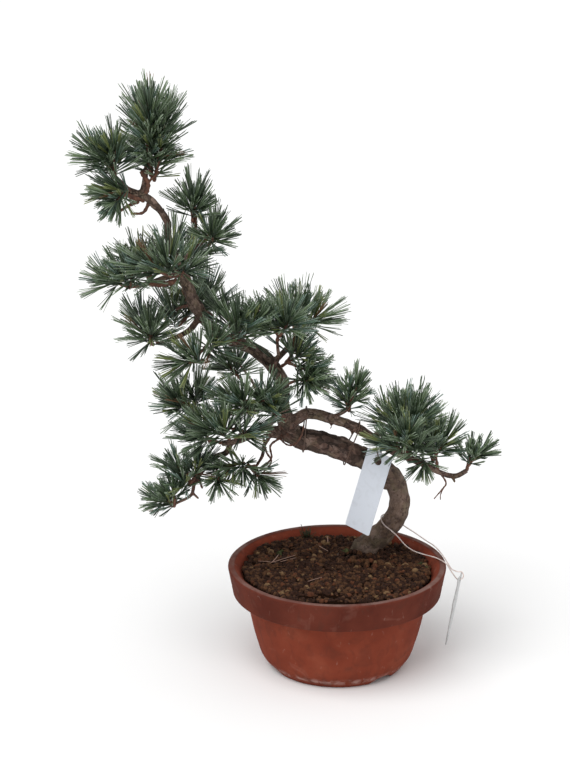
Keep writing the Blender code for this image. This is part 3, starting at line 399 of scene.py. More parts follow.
def radius_node(tree):
    """Distance from the pot's axis."""
    flat = tree.nodes.new("ShaderNodeVectorMath")
    flat.operation = "MULTIPLY_ADD"
    tree.links.new(place_node(tree), flat.inputs[0])
    flat.inputs[1].default_value = (1, 1, 0)
    flat.inputs[2].default_value = (-POT_AXIS.x, -POT_AXIS.y, 0)
    length = tree.nodes.new("ShaderNodeVectorMath")
    length.operation = "LENGTH"
    tree.links.new(flat.outputs["Vector"], length.inputs[0])
    return length.outputs["Value"]


def bump_node(tree, shader, height, strength, distance):
    node = tree.nodes.new("ShaderNodeBump")
    node.inputs["Strength"].default_value = strength
    node.inputs["Distance"].default_value = distance
    tree.links.new(height, node.inputs["Height"])
    tree.links.new(node.outputs["Normal"], shader.inputs["Normal"])


def pale_marks(tree, colour, marks, strength, pale):
    """The colour with paler marks laid over it."""
    return mix_node(tree, times_node(tree, marks, strength), colour, pale)


def clay_material():
    """Unglazed clay: a darker rim band, a few dusty marks, and pale wear near the foot and lip."""
    made, tree, shader = new_material("fired_clay", (0.185, 0.036, 0.019), 0.85)
    shader.inputs["Specular IOR Level"].default_value = 0.08
    height = height_node(tree)
    body = ramp_node(tree, noise_node(tree, 40 * MM, 5), (
        (0.3, (0.150, 0.030, 0.016)), (0.55, (0.200, 0.042, 0.022)), (0.75, (0.245, 0.062, 0.034))))
    band = ramp_node(tree, noise_node(tree, 30 * MM, 5), (
        (0.35, (0.082, 0.018, 0.011)), (0.65, (0.118, 0.028, 0.017))))
    outside = mask_node(tree, radius_node(tree), 102 * MM, 104 * MM)
    banded = times_node(tree, mask_node(tree, height, 75.6 * MM, 76.4 * MM), outside)
    colour = mix_node(tree, banded, body, band)
    dust = mask_node(tree, noise_node(tree, 26 * MM, 8, 1.2), 0.6, 0.8)
    colour = pale_marks(tree, colour, dust, 0.22, (0.36, 0.19, 0.15))
    scuffs = mask_node(tree, noise_node(tree, 5 * MM, 6, 0.6, (1, 1, 0.35)), 0.66, 0.74)
    colour = pale_marks(tree, colour, scuffs, 0.22, (0.42, 0.28, 0.24))
    foot = times_node(tree, mask_node(tree, height, 13 * MM, 8 * MM), mask_node(tree, height, 3 * MM, 7 * MM))
    foot = times_node(tree, foot, mask_node(tree, noise_node(tree, 7 * MM, 6, 0.8), 0.42, 0.62))
    colour = pale_marks(tree, colour, foot, 0.5, (0.50, 0.35, 0.31))
    worn = times_node(tree, mask_node(tree, height, 104.1 * MM, 104.7 * MM),
                      mask_node(tree, noise_node(tree, 25 * MM, 4), 0.25, 0.6))
    colour = pale_marks(tree, colour, worn, 0.5, (0.24, 0.17, 0.15))
    grime = times_node(tree, mask_node(tree, noise_node(tree, 12 * MM, 8, 1.0, (1, 1, 0.6)), 0.50, 0.68), 0.35)
    colour = mix_node(tree, grime, colour, (0.070, 0.026, 0.018))
    tree.links.new(colour, shader.inputs["Base Color"])
    bump_node(tree, shader, noise_node(tree, 1.1 * MM, 5, 0, (1, 1, 2.5)), 0.22, 0.35 * MM)
    return made


def bark_material():
    """Grey-brown bark in plates, pinkish where it is bare, with painted shade in its cracks, on its undersides
    and on its shaded side, and dark on its flakes.
    """
    made, tree, shader = new_material("bark", (0.16, 0.11, 0.08), 0.86)
    shader.inputs["Specular IOR Level"].default_value = 0.2
    place = attribute_node(tree, "bark_place", "Vector")
    rough = attribute_node(tree, "rough")
    bent = bent_node(tree, bent_node(tree, place, 1.4, 1.2), 0.35, 0.35)
    edge = cell_node(tree, bent, "DISTANCE_TO_EDGE", "Distance")
    grey = cell_node(tree, bent, "F1", "Color")
    colour = ramp_node(tree, attribute_node(tree, "tone"), (
        (0.0, (0.145, 0.096, 0.066)), (0.35, (0.175, 0.122, 0.089)), (0.65, (0.135, 0.080, 0.062)),
        (1.0, (0.120, 0.050, 0.032))))
    bare = mask_node(tree, noise_node(tree, 1.2, 6, 0.4, source=place), 0.46, 0.60)
    colour = mix_node(tree, times_node(tree, bare, 0.65), colour, (0.245, 0.178, 0.150))
    pale_side = times_node(tree, mask_node(tree, noise_node(tree, 17 * MM, 5, 0.6), 0.50, 0.62), 0.55)
    colour = mix_node(tree, pale_side, colour, (0.300, 0.210, 0.165))
    purple = times_node(tree, mask_node(tree, noise_node(tree, 11 * MM, 5, 0.8), 0.46, 0.34), 0.6)
    colour = mix_node(tree, purple, colour, (0.060, 0.036, 0.034))
    olive = times_node(tree, mask_node(tree, noise_node(tree, 14 * MM, 5), 0.52, 0.66), 0.4)
    colour = mix_node(tree, olive, colour, (0.150, 0.140, 0.078))
    low_plates = times_node(tree, mask_node(tree, grey, 0.50, 0.30), times_node(tree, rough, 0.75))
    colour = mix_node(tree, low_plates, colour, (0.050, 0.034, 0.027))
    speckle = times_node(tree, mask_node(tree, noise_node(tree, 0.45, 6, 0.3, source=place), 0.45, 0.33), 0.7)
    colour = mix_node(tree, speckle, colour, (0.034, 0.023, 0.018))
    # Painted shade in the bark's cracks, along the plates' edges
    open_cracks = mask_node(tree, noise_node(tree, 2.2, 3, source=place), 0.42, 0.62)
    crack_shade = times_node(tree, mask_node(tree, edge, 0.13, 0.01), times_node(tree, rough, open_cracks))
    colour = mix_node(tree, crack_shade, colour, (0.024, 0.016, 0.012))
    # Dark share: the flakes, the soil stain at the foot, and painted shade on undersides and the shaded side
    flakes = math_node(tree, "ADD", 0.55, times_node(tree, mask_node(tree, grey, 0.62, 0.42), 0.4))
    dark = times_node(tree, attribute_node(tree, "dark"), flakes)
    colour = mix_node(tree, dark, colour, (0.028, 0.018, 0.013))
    tree.links.new(colour, shader.inputs["Base Color"])
    plates = math_node(tree, "ADD", mask_node(tree, edge, 0.0, 0.16), times_node(tree, grey, 1.2))
    relief = math_node(tree, "ADD", times_node(tree, plates, rough),
                       times_node(tree, noise_node(tree, 0.3, 6, 0.3, source=place), 1.2))
    bump_node(tree, shader, relief, 0.9, 0.5 * MM)
    return made


def twig_material():
    made, tree, shader = new_material("twig_bark", (0.13, 0.06, 0.035), 0.8)
    colour = ramp_node(tree, noise_node(tree, 3 * MM, 4), (
        (0.35, (0.075, 0.036, 0.024)), (0.6, (0.165, 0.070, 0.042)), (0.8, (0.26, 0.13, 0.08))))
    tree.links.new(colour, shader.inputs["Base Color"])
    bump_node(tree, shader, noise_node(tree, 0.9 * MM, 4), 0.5, 0.3 * MM)
    return made


def cut_wood_material():
    made, tree, shader = new_material("cut_wood", (0.16, 0.12, 0.07), 0.85)
    colour = ramp_node(tree, noise_node(tree, 4 * MM, 6, 0.5), (
        (0.35, (0.100, 0.078, 0.045)), (0.65, (0.190, 0.145, 0.090))))
    tree.links.new(colour, shader.inputs["Base Color"])
    return made


def grain_material(name, dark, light):
    made, tree, shader = new_material(name, light, 0.95)
    shader.inputs["Specular IOR Level"].default_value = 0.15
    colour = ramp_node(tree, noise_node(tree, 2.4 * MM, 4), ((0.35, dark), (0.65, light)))
    tree.links.new(colour, shader.inputs["Base Color"])
    bump_node(tree, shader, noise_node(tree, 0.7 * MM, 4), 0.6, 0.3 * MM)
    return made


def plastic_material(name, clean, soiled, roughness):
    made, tree, shader = new_material(name, clean, roughness)
    marks = times_node(tree, mask_node(tree, noise_node(tree, 8 * MM, 6, 0.6), 0.5, 0.75), 0.5)
    colour = mix_node(tree, marks, clean, soiled)
    tree.links.new(colour, shader.inputs["Base Color"])
    bump_node(tree, shader, noise_node(tree, 3 * MM, 3), 0.08, 0.2 * MM)
    return made


def string_material():
    made, tree, shader = new_material("string", (0.70, 0.58, 0.54), 0.85)
    colour = ramp_node(tree, noise_node(tree, 6 * MM, 4), (
        (0.3, (0.52, 0.42, 0.38)), (0.7, (0.80, 0.70, 0.66))))
    tree.links.new(colour, shader.inputs["Base Color"])
    return made


def wire_material():
    made, tree, shader = new_material("brown_wire", (0.10, 0.055, 0.035), 0.5)
    colour = ramp_node(tree, noise_node(tree, 5 * MM, 4), (
        (0.35, (0.060, 0.036, 0.026)), (0.7, (0.150, 0.080, 0.050))))
    tree.links.new(colour, shader.inputs["Base Color"])
    return made


def plain_material(name, colour, roughness):
    return new_material(name, colour, roughness)[0]


# Meshes

class Joined:
    """Shapes gathered as arrays of points and faces, to become one mesh."""

    def __init__(self):
        self.points = []
        self.faces = []
        self.slots = []
        self.count = 0

    def add(self, points, faces, slots=0):
        """Add points, with faces as arrays of indices, each with one material slot a face."""
        self.points.append(np.asarray(points, dtype=np.float32))
        for group in faces:
            self.faces.append(np.asarray(group, dtype=np.int32) + self.count)
            self.slots.append(np.broadcast_to(slots, len(group)).astype(np.int32))
        self.count += len(points)

    def build(self, name, materials, smooth=True):
        points = np.concatenate(self.points)
        sizes = np.concatenate([np.full(len(group), group.shape[1]) for group in self.faces])
        mesh = bpy.data.meshes.new(name)
        mesh.vertices.add(len(points))
        mesh.vertices.foreach_set("co", points.ravel())
        corners = np.concatenate([group.ravel() for group in self.faces])
        mesh.loops.add(len(corners))
        mesh.loops.foreach_set("vertex_index", corners)
        mesh.polygons.add(len(sizes))
        mesh.polygons.foreach_set("loop_start", np.concatenate(([0], np.cumsum(sizes)[:-1])))
        mesh.polygons.foreach_set("material_index", np.concatenate(self.slots))
        for material in materials:
            mesh.materials.append(material)
        mesh.update(calc_edges=True)
        mesh.validate()
        if smooth:
            mesh.shade_smooth()
        made = bpy.data.objects.new(name, mesh)
        bpy.context.scene.collection.objects.link(made)
        return made


def bake(obj):
    """Apply an object's modifiers, or turn a curve into a mesh, in place."""
    bpy.context.view_layer.update()
    evaluated = obj.evaluated_get(bpy.context.evaluated_depsgraph_get())
    mesh = bpy.data.meshes.new_from_object(evaluated)
    mesh.transform(obj.matrix_world)
    baked = bpy.data.objects.new(obj.name, mesh)
    bpy.context.scene.collection.objects.link(baked)
    name = obj.name
    bpy.data.objects.remove(obj, do_unlink=True)
    baked.name = name
    return baked


def ring_faces(rings, sides, closed=False):
    """Quads between rings of points, as indices."""
    quads = []
    last = rings if closed else rings - 1
    for i in range(last):
        a = np.arange(sides) + i * sides
        b = np.arange(sides) + ((i + 1) % rings) * sides
        quads.append(np.stack([a, np.roll(a, -1), np.roll(b, -1), b], axis=1))
    return np.concatenate(quads)


def directions_along(places, closed=False):
    """Axis, side and up at each place of a line, carried along it without twisting."""
    count = len(places)
    side = None
    found = []
    for i in range(count):
        ahead = places[(i + 1) % count] if closed else places[min(i + 1, count - 1)]
        behind = places[i - 1] if closed or i else places[0]
        axis = (ahead - behind).normalized()
        side = axis.orthogonal() if side is None else side - axis * side.dot(axis)
        side.normalize()
        found.append((axis, side, axis.cross(side)))
    return found


def tube(places, radii, sides, closed=False):
    """Points and faces of a round tube along places, with end caps unless it is closed."""
    count = len(places)
    places = [Vector(place) for place in places]
    turns = [2 * math.pi * k / sides for k in range(sides)]
    rings = []
    for place, radius, (_, side, up) in zip(places, radii, directions_along(places, closed)):
        rings += [place + (side * math.cos(turn) + up * math.sin(turn)) * radius for turn in turns]
    faces = [ring_faces(count, sides, closed)]
    points = np.array(rings)
    if not closed:
        points = np.concatenate([points, [places[0], places[-1]]])
        first = np.arange(sides)
        last = first + (count - 1) * sides
        low, high = len(rings), len(rings) + 1
        faces.append(np.stack([np.roll(first, -1), first, np.full(sides, low)], axis=1))
        faces.append(np.stack([last, np.roll(last, -1), np.full(sides, high)], axis=1))
    return points, faces


def catmull_rom(points, step):
    """Smooth samples through the points, about one step apart, of any number of values each."""
    knots = [np.array(p, dtype=float) for p in points]
    knots = [2 * knots[0] - knots[1], *knots, 2 * knots[-1] - knots[-2]]
    samples = []
    for before, start, end, after in zip(knots, knots[1:], knots[2:], knots[3:]):
        count = max(1, round(float(np.linalg.norm((end - start)[:3])) * MM / step))
        for i in range(count):
            t = i / count
            samples.append(0.5 * (2 * start + (end - before) * t
                                  + (2 * before - 5 * start + 4 * end - after) * t ** 2
                                  + (3 * start - before - 3 * end + after) * t ** 3))
    samples.append(knots[-2])
    return samples


class Limb:
    """A smooth tapering centreline, with its radius at each sample."""

    def __init__(self, name, samples):
        self.name = name
        self.places = [mm(*sample[:3]) for sample in samples]
        self.radii = [float(sample[3]) * MM for sample in samples]
        steps = [(b - a).length for a, b in zip(self.places, self.places[1:])]
        self.marks = np.concatenate(([0.0], np.cumsum(steps)))

    def at(self, fraction):
        """Centre of the limb at a fraction of its length."""
        mark = fraction * self.marks[-1]
        i = min(int(np.searchsorted(self.marks, mark, side="right")) - 1, len(self.places) - 2)
        t = (mark - self.marks[i]) / (self.marks[i + 1] - self.marks[i])
        return self.places[i].lerp(self.places[i + 1], t)

    def fine_places(self):
        """Evenly spaced points along the centreline, a millimetre or so apart."""
        count = int(self.marks[-1] / MM)
        return [self.at(i / count) for i in range(count + 1)]


def tapered(line, radii):
    """Centreline points with a radius that runs evenly from the first to the last."""
    steps = [math.dist(a, b) for a, b in zip(line, line[1:])]
    total = sum(steps)
    run = 0.0
    rows = []
    for i, point in enumerate(line):
        rows.append((*point, radii[0] + (radii[1] - radii[0]) * run / total))
        run += steps[i] if i < len(steps) else 0.0
    return rows


def root_line(turn, reach):
    """A surface root: out from inside the trunk's foot and down under the soil."""
    foot = Vector(TRUNK_LINE[0][:3])
    out = heading(turn)
    return (tuple(foot + out * 2 + Vector((0, 0, 22))),
            tuple((foot + out * reach * 0.55).xy.to_3d() + Vector((0, 0, SOIL_TOP + 3))),
            tuple((foot + out * reach).xy.to_3d() + Vector((0, 0, SOIL_TOP - 3.5))))


def plant_limbs():
    """The trunk, its stubs, its roots and its boughs, as limbs by name."""
    limbs = {"trunk": Limb("trunk", catmull_rom(TRUNK_LINE, LIMB_STEP))}
    limbs["stub"] = Limb("stub", catmull_rom(tapered(STUB_LINE, STUB_RADII), LIMB_STEP))
    for number, (turn, reach) in enumerate(ROOTS):
        line = tapered(root_line(turn, reach), ROOT_RADII)
        limbs[f"root_{number}"] = Limb("root", catmull_rom(line, LIMB_STEP))
    for bough in BOUGHS:
        limbs[bough.name] = Limb(bough.name, catmull_rom(tapered(bough.line, bough.radii), LIMB_STEP))
    for number, (line, radii) in enumerate(STUBS):
        limbs[f"stub_{number}"] = Limb("stub", catmull_rom(tapered(line, radii), LIMB_STEP))
    return limbs


# Wood

WOOD_VOXEL = 0.95 * MM
WOOD_SMOOTHING = 3
LIMB_SIDES = 24
# Bark plates: width on a thin limb and on the trunk, and length over width
PLATE_WIDTH = (2.6 * MM, 5.5 * MM)
PLATE_STRETCH = 1.5
THICK_LIMB = 11 * MM
# The trunk is smoother below this height, and its bark flakes between the next two
ROUGH_FROM = 185 * MM
FLAKY_LEVEL = (200 * MM, 262 * MM)
FLAKE_HEIGHT = 1.1 * MM
# Soil darkens the trunk's foot below this height
STAIN_TOP = 125 * MM
SOIL_STAIN = 0.6
# Bark that faces this way is painted darker, as painted shade on its shaded side
SHADY_SIDE = Vector((0.86, 0.1, -0.5))


def clamped(value):
    return max(0.0, min(1.0, value))


def fractal(point, size, octaves=3):
    """Noise from about -1 to 1 whose patches are about the given size."""
    return noise.fractal(point / size, 1.0, 2.0, octaves, noise_basis="PERLIN_ORIGINAL")


class Bark:
    """Places on a limb's bark, measured in plates across, up and along the limb."""

    def __init__(self, limb):
        self.limb = limb
        self.directions = directions_along(limb.places)
        self.thick = [clamped(radius / THICK_LIMB) for radius in limb.radii]
        self.widths = [PLATE_WIDTH[0] + (PLATE_WIDTH[1] - PLATE_WIDTH[0]) * share for share in self.thick]
        steps = np.diff(limb.marks) / (np.array(self.widths[1:]) * PLATE_STRETCH)
        self.runs = np.concatenate(([0.0], np.cumsum(steps)))

    def place(self, point, i):
        axis, side, up = self.directions[i]
        away = point - self.limb.places[i]
        width = self.widths[i]
        along = self.runs[i] + away.dot(axis) / (width * PLATE_STRETCH)
        return Vector((away.dot(side) / width, away.dot(up) / width, along))


def bark_at(bark, i, vertex):
    """Place on the bark, height of its relief in metres, and shares of rough, tone and dark; dark holds the
    flakes, the soil stain and painted shade.
    """
    limb, thick = bark.limb, bark.thick[i]
    point, normal = vertex.co, vertex.normal
    place = bark.place(point, i)
    trunk = limb.name in ("trunk", "stub", "root")
    rough = 0.3 + 0.7 * clamped((point.z - ROUGH_FROM) / (20 * MM)) if trunk else 1.0
    lumps = fractal(point + Vector((3, 1, 7)), 12 * MM, 2) * (0.3 + 0.9 * thick)
    humps = fractal(place, 1.4, 3) * 0.75 * max(thick, 0.35) * rough
    height = (lumps + humps) * MM
    flaky = 0.0
    if limb.name == "trunk" and FLAKY_LEVEL[0] < point.z < FLAKY_LEVEL[1]:
        flaky = clamped((normal.z * 1.5 - 0.5 + fractal(point, 11 * MM, 3) * 1.5) * 3)
        step = noise.cell(noise.voronoi(place * 0.8)[1][0] * 9.7)
        height += flaky * FLAKE_HEIGHT * step
    # Painted shade: darker on the undersides and on the side that faces SHADY_SIDE
    shade = clamped(-0.5 - normal.z) * 1.4
    shade = max(shade, 0.6 * clamped(normal.dot(SHADY_SIDE) * 2 - 1))
    if trunk:
        shade = max(shade, SOIL_STAIN * clamped((STAIN_TOP - point.z) / (16 * MM)))
    return place, height, rough, bark_tone(limb, limb.radii[i], point.z), max(flaky, shade)


def bark_tone(limb, radius, height):
    """Where a point's bark lies between grey-brown (0) and the reddish brown of young wood (1)."""
    young = clamped((4.2 * MM - radius) / (2.4 * MM))
    if limb.name == "trunk" and height > 250 * MM:
        return 0.35 + 0.5 * young
    level = clamped((height - 170 * MM) / (30 * MM))
    return max(young, 0.62 * level)


def make_skin(limbs, surface):
    """The trunk and boughs as one smooth skin that runs from limb to limb."""
    skin = Joined()
    for limb in limbs.values():
        skin.add(*tube(limb.places, limb.radii, LIMB_SIDES))
    wood = skin.build("trunk_and_boughs", [surface])
    remesh = wood.modifiers.new("skin", "REMESH")
    remesh.mode = "VOXEL"
    remesh.voxel_size = WOOD_VOXEL
    soften = wood.modifiers.new("soften", "SMOOTH")
    soften.iterations = WOOD_SMOOTHING
    return bake(wood)


def make_wood(limbs, surface):
    """The skin of the trunk and boughs with the relief and the shades of its bark."""
    wood = make_skin(limbs, surface)
    rows = [(bark, i) for bark in map(Bark, limbs.values()) for i in range(len(bark.limb.places))]
    tree = KDTree(len(rows))
    for number, (bark, i) in enumerate(rows):
        tree.insert(bark.limb.places[i], number)
    tree.balance()
    mesh = wood.data
    found = [bark_at(*rows[tree.find(vertex.co)[1]], vertex) for vertex in mesh.vertices]
    moved = [vertex.co + vertex.normal * row[1] for vertex, row in zip(mesh.vertices, found)]
    mesh.vertices.foreach_set("co", np.array(moved, dtype=np.float32).ravel())
    places = np.array([row[0] for row in found], dtype=np.float32).ravel()
    mesh.attributes.new("bark_place", "FLOAT_VECTOR", "POINT").data.foreach_set("vector", places)
    for column, name in enumerate(("rough", "tone", "dark"), start=2):
        values = [row[column] for row in found]
        mesh.attributes.new(name, "FLOAT", "POINT").data.foreach_set("value", values)
    mesh.update()
    mesh.shade_smooth()
    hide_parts("trunk", *[bough.name for bough in BOUGHS])
    return wood


# Twigs and needles

def sideways(axis, turn):
    """A unit vector square to the axis. At turn 0 it points right, or up from an axis that lies so."""
    level = Vector((1, 0, 0)) if abs(axis.x) < 0.8 else Vector((0, 0, 1))
    square = (level - axis * level.dot(axis)).normalized()
    square.rotate(Matrix.Rotation(turn, 3, axis))
    return square


def shoots_of(mass, limbs, seed):
    """The stem and the leafy shoots of one mass, as start, leafy start and tip."""
    rng = random.Random(seed)
    foot = limbs[mass.carrier].at(mass.at)
    root = mm(*mass.root)
    lean = Vector(mass.lean).normalized()
    shoots = [(foot, root, root + lean * mass.leafy * MM)]
    for k in range(1, mass.shoots):
        start = foot.lerp(root, 1 - SIDE_SHOOT_STEP * k)
        side = sideways(lean, math.radians(mass.turn) + GOLDEN_ANGLE * (k - 1))
        spread = math.radians(mass.spread)
        aim = lean * math.cos(spread) + side * math.sin(spread)
        leafy_start = start + aim * SIDE_SHOOT_STEM
        tip = leafy_start + aim * mass.leafy * MM * rng.uniform(0.8, 1.05)
        shoots.append((start, leafy_start, tip))
    return shoots


class Limits:
    """The limbs and the tag as arrays, to keep the needles out of them."""

    def __init__(self, limbs):
        rows = [(limb.places[i], limb.places[i + 1], limb.radii[i])
                for limb in limbs.values() for i in range(len(limb.places) - 1)]
        rows += tag_clearance()
        self.starts = np.array([row[0] for row in rows])
        self.ends = np.array([row[1] for row in rows])
        self.radii = np.array([row[2] for row in rows])

    def clear(self, points):
        """For each point, whether it lies outside every limb."""
        along = self.ends - self.starts
        rel = points[:, None, :] - self.starts[None, :, :]
        t = np.einsum("pij,ij->pi", rel, along) / np.einsum("ij,ij->i", along, along)
        away = np.linalg.norm(rel - np.clip(t, 0, 1)[:, :, None] * along, axis=2)
        return np.all(away > self.radii + LIMB_MARGIN, axis=1)


def fascicles_on(shoot, mass, limits, rng):
    """The bundles of needles of one shoot: root, aim and needle length of each."""
    _, base, tip = shoot
    axis = (tip - base).normalized()
    phase = rng.uniform(0, 2 * math.pi)
    rows = []
    count = FASCICLES_AT_TIP + round(FASCICLES_PER_LENGTH * (tip - base).length / MM)
    for i in range(count):
        t = (i + 0.5) / count
        side = sideways(axis, phase + GOLDEN_ANGLE * i)
        opening = math.radians(76 - 62 * t) + rng.uniform(-OPENING_SCATTER, OPENING_SCATTER)
        aim = (axis * math.cos(opening) + side * math.sin(opening)).normalized()
        shares = LONG_LENGTH if rng.random() < LONG_SHARE else SHORT_LENGTH
        length = mass.needle * MM * rng.uniform(*shares)
        if axis.z > 0.3 and aim.z < -0.1 and rng.random() < DROOPING_DROPPED:
            continue
        rows.append((base.lerp(tip, 0.08 + 0.86 * t), aim, length))
    probes = np.array([root + aim * length * share for root, aim, length in rows
                       for share in (0.3, 0.6, 0.85, 1.0)])
    free = limits.clear(probes).reshape(len(rows), -1).all(axis=1)
    return [row for row, kept in zip(rows, free) if kept]


def needle_rows(fascicle, rng):
    """The five needles of a bundle: root, aim, outward direction, bend and length."""
    root, aim, length = fascicle
    turn = rng.uniform(0, 2 * math.pi)
    rows = []
    for k in range(NEEDLES_PER_FASCICLE):
        out = sideways(aim, turn + 2 * math.pi * k / NEEDLES_PER_FASCICLE)
        spread = rng.uniform(*BUNDLE_SPREAD)
        way = (aim + out * spread).normalized()
        bend = out * rng.uniform(-0.02, 0.07) + Vector((0, 0, rng.uniform(0.0, 0.06)))
        rows.append((root, way, out, bend, length * rng.uniform(0.92, 1.06)))
    return rows


def needle_arrays(rows):
    """Points and faces of needles, each three-sided, gently bent and drawn to a point."""
    roots, aims, outs, bends = (np.array([row[i] for row in rows]) for i in range(4))
    lengths = np.array([row[4] for row in rows])[:, None, None]
    count = len(rows)
    outs = outs - aims * np.einsum("ij,ij->i", outs, aims)[:, None]
    outs /= np.linalg.norm(outs, axis=1)[:, None]
    sides = np.cross(aims, outs)
    shares = np.array([*NEEDLE_STATIONS, 1.0])[None, :, None]
    line = roots[:, None, :] + aims[:, None, :] * shares * lengths + bends[:, None, :] * shares ** 2 * lengths
    half = np.array(NEEDLE_TAPER)[None, :, None] * NEEDLE_WIDTH / 2
    body = line[:, :-1]
    corners = [body + sides[:, None] * half, body - sides[:, None] * half, body - outs[:, None] * half * 0.9]
    rings = np.stack(corners, axis=2).reshape(count, -1, 3)
    points = np.concatenate([rings, line[:, -1:]], axis=1)
    stations = len(NEEDLE_STATIONS)
    each = stations * 3 + 1
    offsets = (np.arange(count) * each)[:, None]
    faces, kinds = [], []
    for side in range(3):
        a, b = side, (side + 1) % 3
        for s in range(stations - 1):
            quad = np.array([a, b, b + 3, a + 3]) + 3 * s
            faces.append(quad[None, :] + offsets)
            kinds.append(side > 0)
        tip = np.array([a + 3 * (stations - 1), b + 3 * (stations - 1), each - 1])
        faces.append(tip[None, :] + offsets)
        kinds.append(side > 0)
    faces.append(np.array([2, 1, 0])[None, :] + offsets)
    kinds.append(True)
    return points.reshape(-1, 3), faces, kinds


def twig_points(start, tip, rng):
    """Centreline and radii of one twig, with the knobs of old buds along it."""
    count = max(4, int((tip - start).length / (2.2 * MM)))
    axis = (tip - start).normalized()
    bow = sideways(axis, rng.uniform(0, 2 * math.pi)) * (tip - start).length * rng.uniform(0.02, 0.06)
    places, radii = [], []
    for i in range(count + 1):
        t = i / count
        places.append(start.lerp(tip, t) + bow * math.sin(math.pi * t))
        knob = 1.22 if i % 3 == 1 else 0.92
        radii.append(TWIG_RADIUS * (1.15 - 0.35 * t) * knob * rng.uniform(0.92, 1.08))
    return places, radii


def make_crown(limbs, twig_surface, needle_surfaces):
    """Twigs and needles of every mass, joined by part of the crown."""
    limits = Limits(limbs)
    weights = [row[3] for row in NEEDLE_COLOURS]
    made = []
    for part, starts in CROWN_PARTS:
        twigs, needles = Joined(), Joined()
        own = [(number, mass) for number, mass in enumerate(MASSES) if mass.name.startswith(starts)]
        for _, line, radii in (row for row in BARE_TWIGS if row[0] == part):
            bare = Limb("twig", catmull_rom(tapered(line, radii), BARE_TWIG_STEP))
            knobs = [radius * (1.2 if i % 3 == 1 else 0.95) for i, radius in enumerate(bare.radii)]
            twigs.add(*tube(bare.places, knobs, 7))
        for number, mass in own:
            rng = random.Random(500 + number)
            rows, colours = [], []
            for shoot in shoots_of(mass, limbs, 100 + number):
                twigs.add(*tube(*twig_points(shoot[0], shoot[2], rng), 7))
                for fascicle in fascicles_on(shoot, mass, limits, rng):
                    rows += needle_rows(fascicle, rng)
                    colour = rng.choices(range(len(weights)), weights)[0]
                    colours += [colour] * NEEDLES_PER_FASCICLE
            points, faces, kinds = needle_arrays(rows)
            needles.points.append(points.astype(np.float32))
            for group, inner in zip(faces, kinds):
                needles.faces.append((group + needles.count).astype(np.int32))
                needles.slots.append(np.array(colours, dtype=np.int32) * 2 + int(inner))
            needles.count += len(points)
        names = [mass.name for _, mass in own]
        twig_piece = twigs.build(f"twigs_{part}", [twig_surface])
        needle_piece = needles.build(f"needles_{part}", needle_surfaces)
        for piece, slot in ((twig_piece, "bark"), (needle_piece, "pine_needles")):
            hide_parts(*names)
            made.append((piece, slot))
    return made


# Pot and soil

def rounded(profile):
    """Profile points with each corner drawn as a smooth bend of its own size."""
    points = []
    for i, (radius, height, bend) in enumerate(profile):
        here = np.array((radius, height), dtype=float)
        before = np.array(profile[i - 1][:2], dtype=float)
        after = np.array(profile[(i + 1) % len(profile)][:2], dtype=float)
        start = here + (before - here) / np.linalg.norm(before - here) * bend
        end = here + (after - here) / np.linalg.norm(after - here) * bend
        for k in range(CORNER_STEPS + 1):
            t = k / CORNER_STEPS
            points.append((1 - t) ** 2 * start + 2 * t * (1 - t) * here + t ** 2 * end)
    return points


def divided(points, step):
    """The same closed outline with no side longer than the step."""
    fine = []
    for start, end in zip(points, points[1:] + points[:1]):
        count = max(1, math.ceil(float(np.linalg.norm(end - start)) / step))
        fine += [start + (end - start) * k / count for k in range(count)]
    return fine


def notch_lift(turn):
    """How far the foot is cut away above the ground at a turn, in millimetres."""
    lift = 0.0
    for middle in NOTCH_TURNS:
        off = (math.degrees(turn) - middle + 180) % 360 - 180
        across = math.radians(off) * 67
        if abs(across) < NOTCH_RADIUS:
            lift = max(lift, math.sqrt(NOTCH_RADIUS ** 2 - across ** 2) - NOTCH_RADIUS + NOTCH_HEIGHT)
    return lift


def make_pot(surface):
    """The turned pot, slightly uneven, with its three arched notches in the foot."""
    profile = divided(rounded((*POT_OUTER, *POT_UNDER, *POT_INNER)), POT_STEP)
    points = []
    for radius, height in profile:
        groove = fractal(Vector((0, 0, height)), 4.0, 2) * 0.16
        for k in range(POT_TURNS):
            turn = 2 * math.pi * k / POT_TURNS
            way = Vector((math.cos(turn), math.sin(turn), 0))
            uneven = fractal(way * 1.7 + Vector((0, 0, height * 0.02)), 1.0, 2) * 0.35
            level = height
            if height < NOTCH_HEIGHT + 2 and 50 < radius < 80:
                lift = notch_lift(turn)
                level = height if lift <= 0 else max(height, lift) + 0.25 * math.exp(-abs(height - lift))
            if 0 < height < 1:
                uneven = 0.0
            points.append(way * (radius + groove + uneven) * MM + Vector((0, 0, level * MM)) + POT_AXIS)
    pot = Joined()
    pot.add(np.array(points), [ring_faces(len(profile), POT_TURNS, closed=True)[:, ::-1]])
    made = pot.build("clay_pot", [surface])
    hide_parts("pot")
    return made


GRAIN_SPACING = 3.9
GRAIN_RADIUS = (2.0, 4.0)
SMALLER_MORE = 1.8
GRAIN_SINK = (1.3, -0.3)
GRAIN_SHAPES = 14
GRAIN_KINDS = (
    ("grain_dark", (0.013, 0.006, 0.004), (0.042, 0.018, 0.010), 54),
    ("grain_brown", (0.034, 0.015, 0.008), (0.095, 0.045, 0.021), 34),
    ("grain_red", (0.055, 0.020, 0.010), (0.112, 0.042, 0.020), 8),
    ("grain_tan", (0.100, 0.058, 0.028), (0.200, 0.120, 0.060), 4),
    ("grain_moss", (0.018, 0.020, 0.008), (0.070, 0.075, 0.028), 0),
)
TAN, MOSS = 3, 4
# Near-black painted shade for the soil under the granules, seen in the gaps between them
SOIL_SHADE = (0.010, 0.005, 0.003)
# Granules heaped round the trunk's foot: how far out, how wide and how high the heap is
HEAP_PLACE = (29, 38)
HEAP_AWAY, HEAP_WIDTH, HEAP_HEIGHT = 17, 10, 7.5
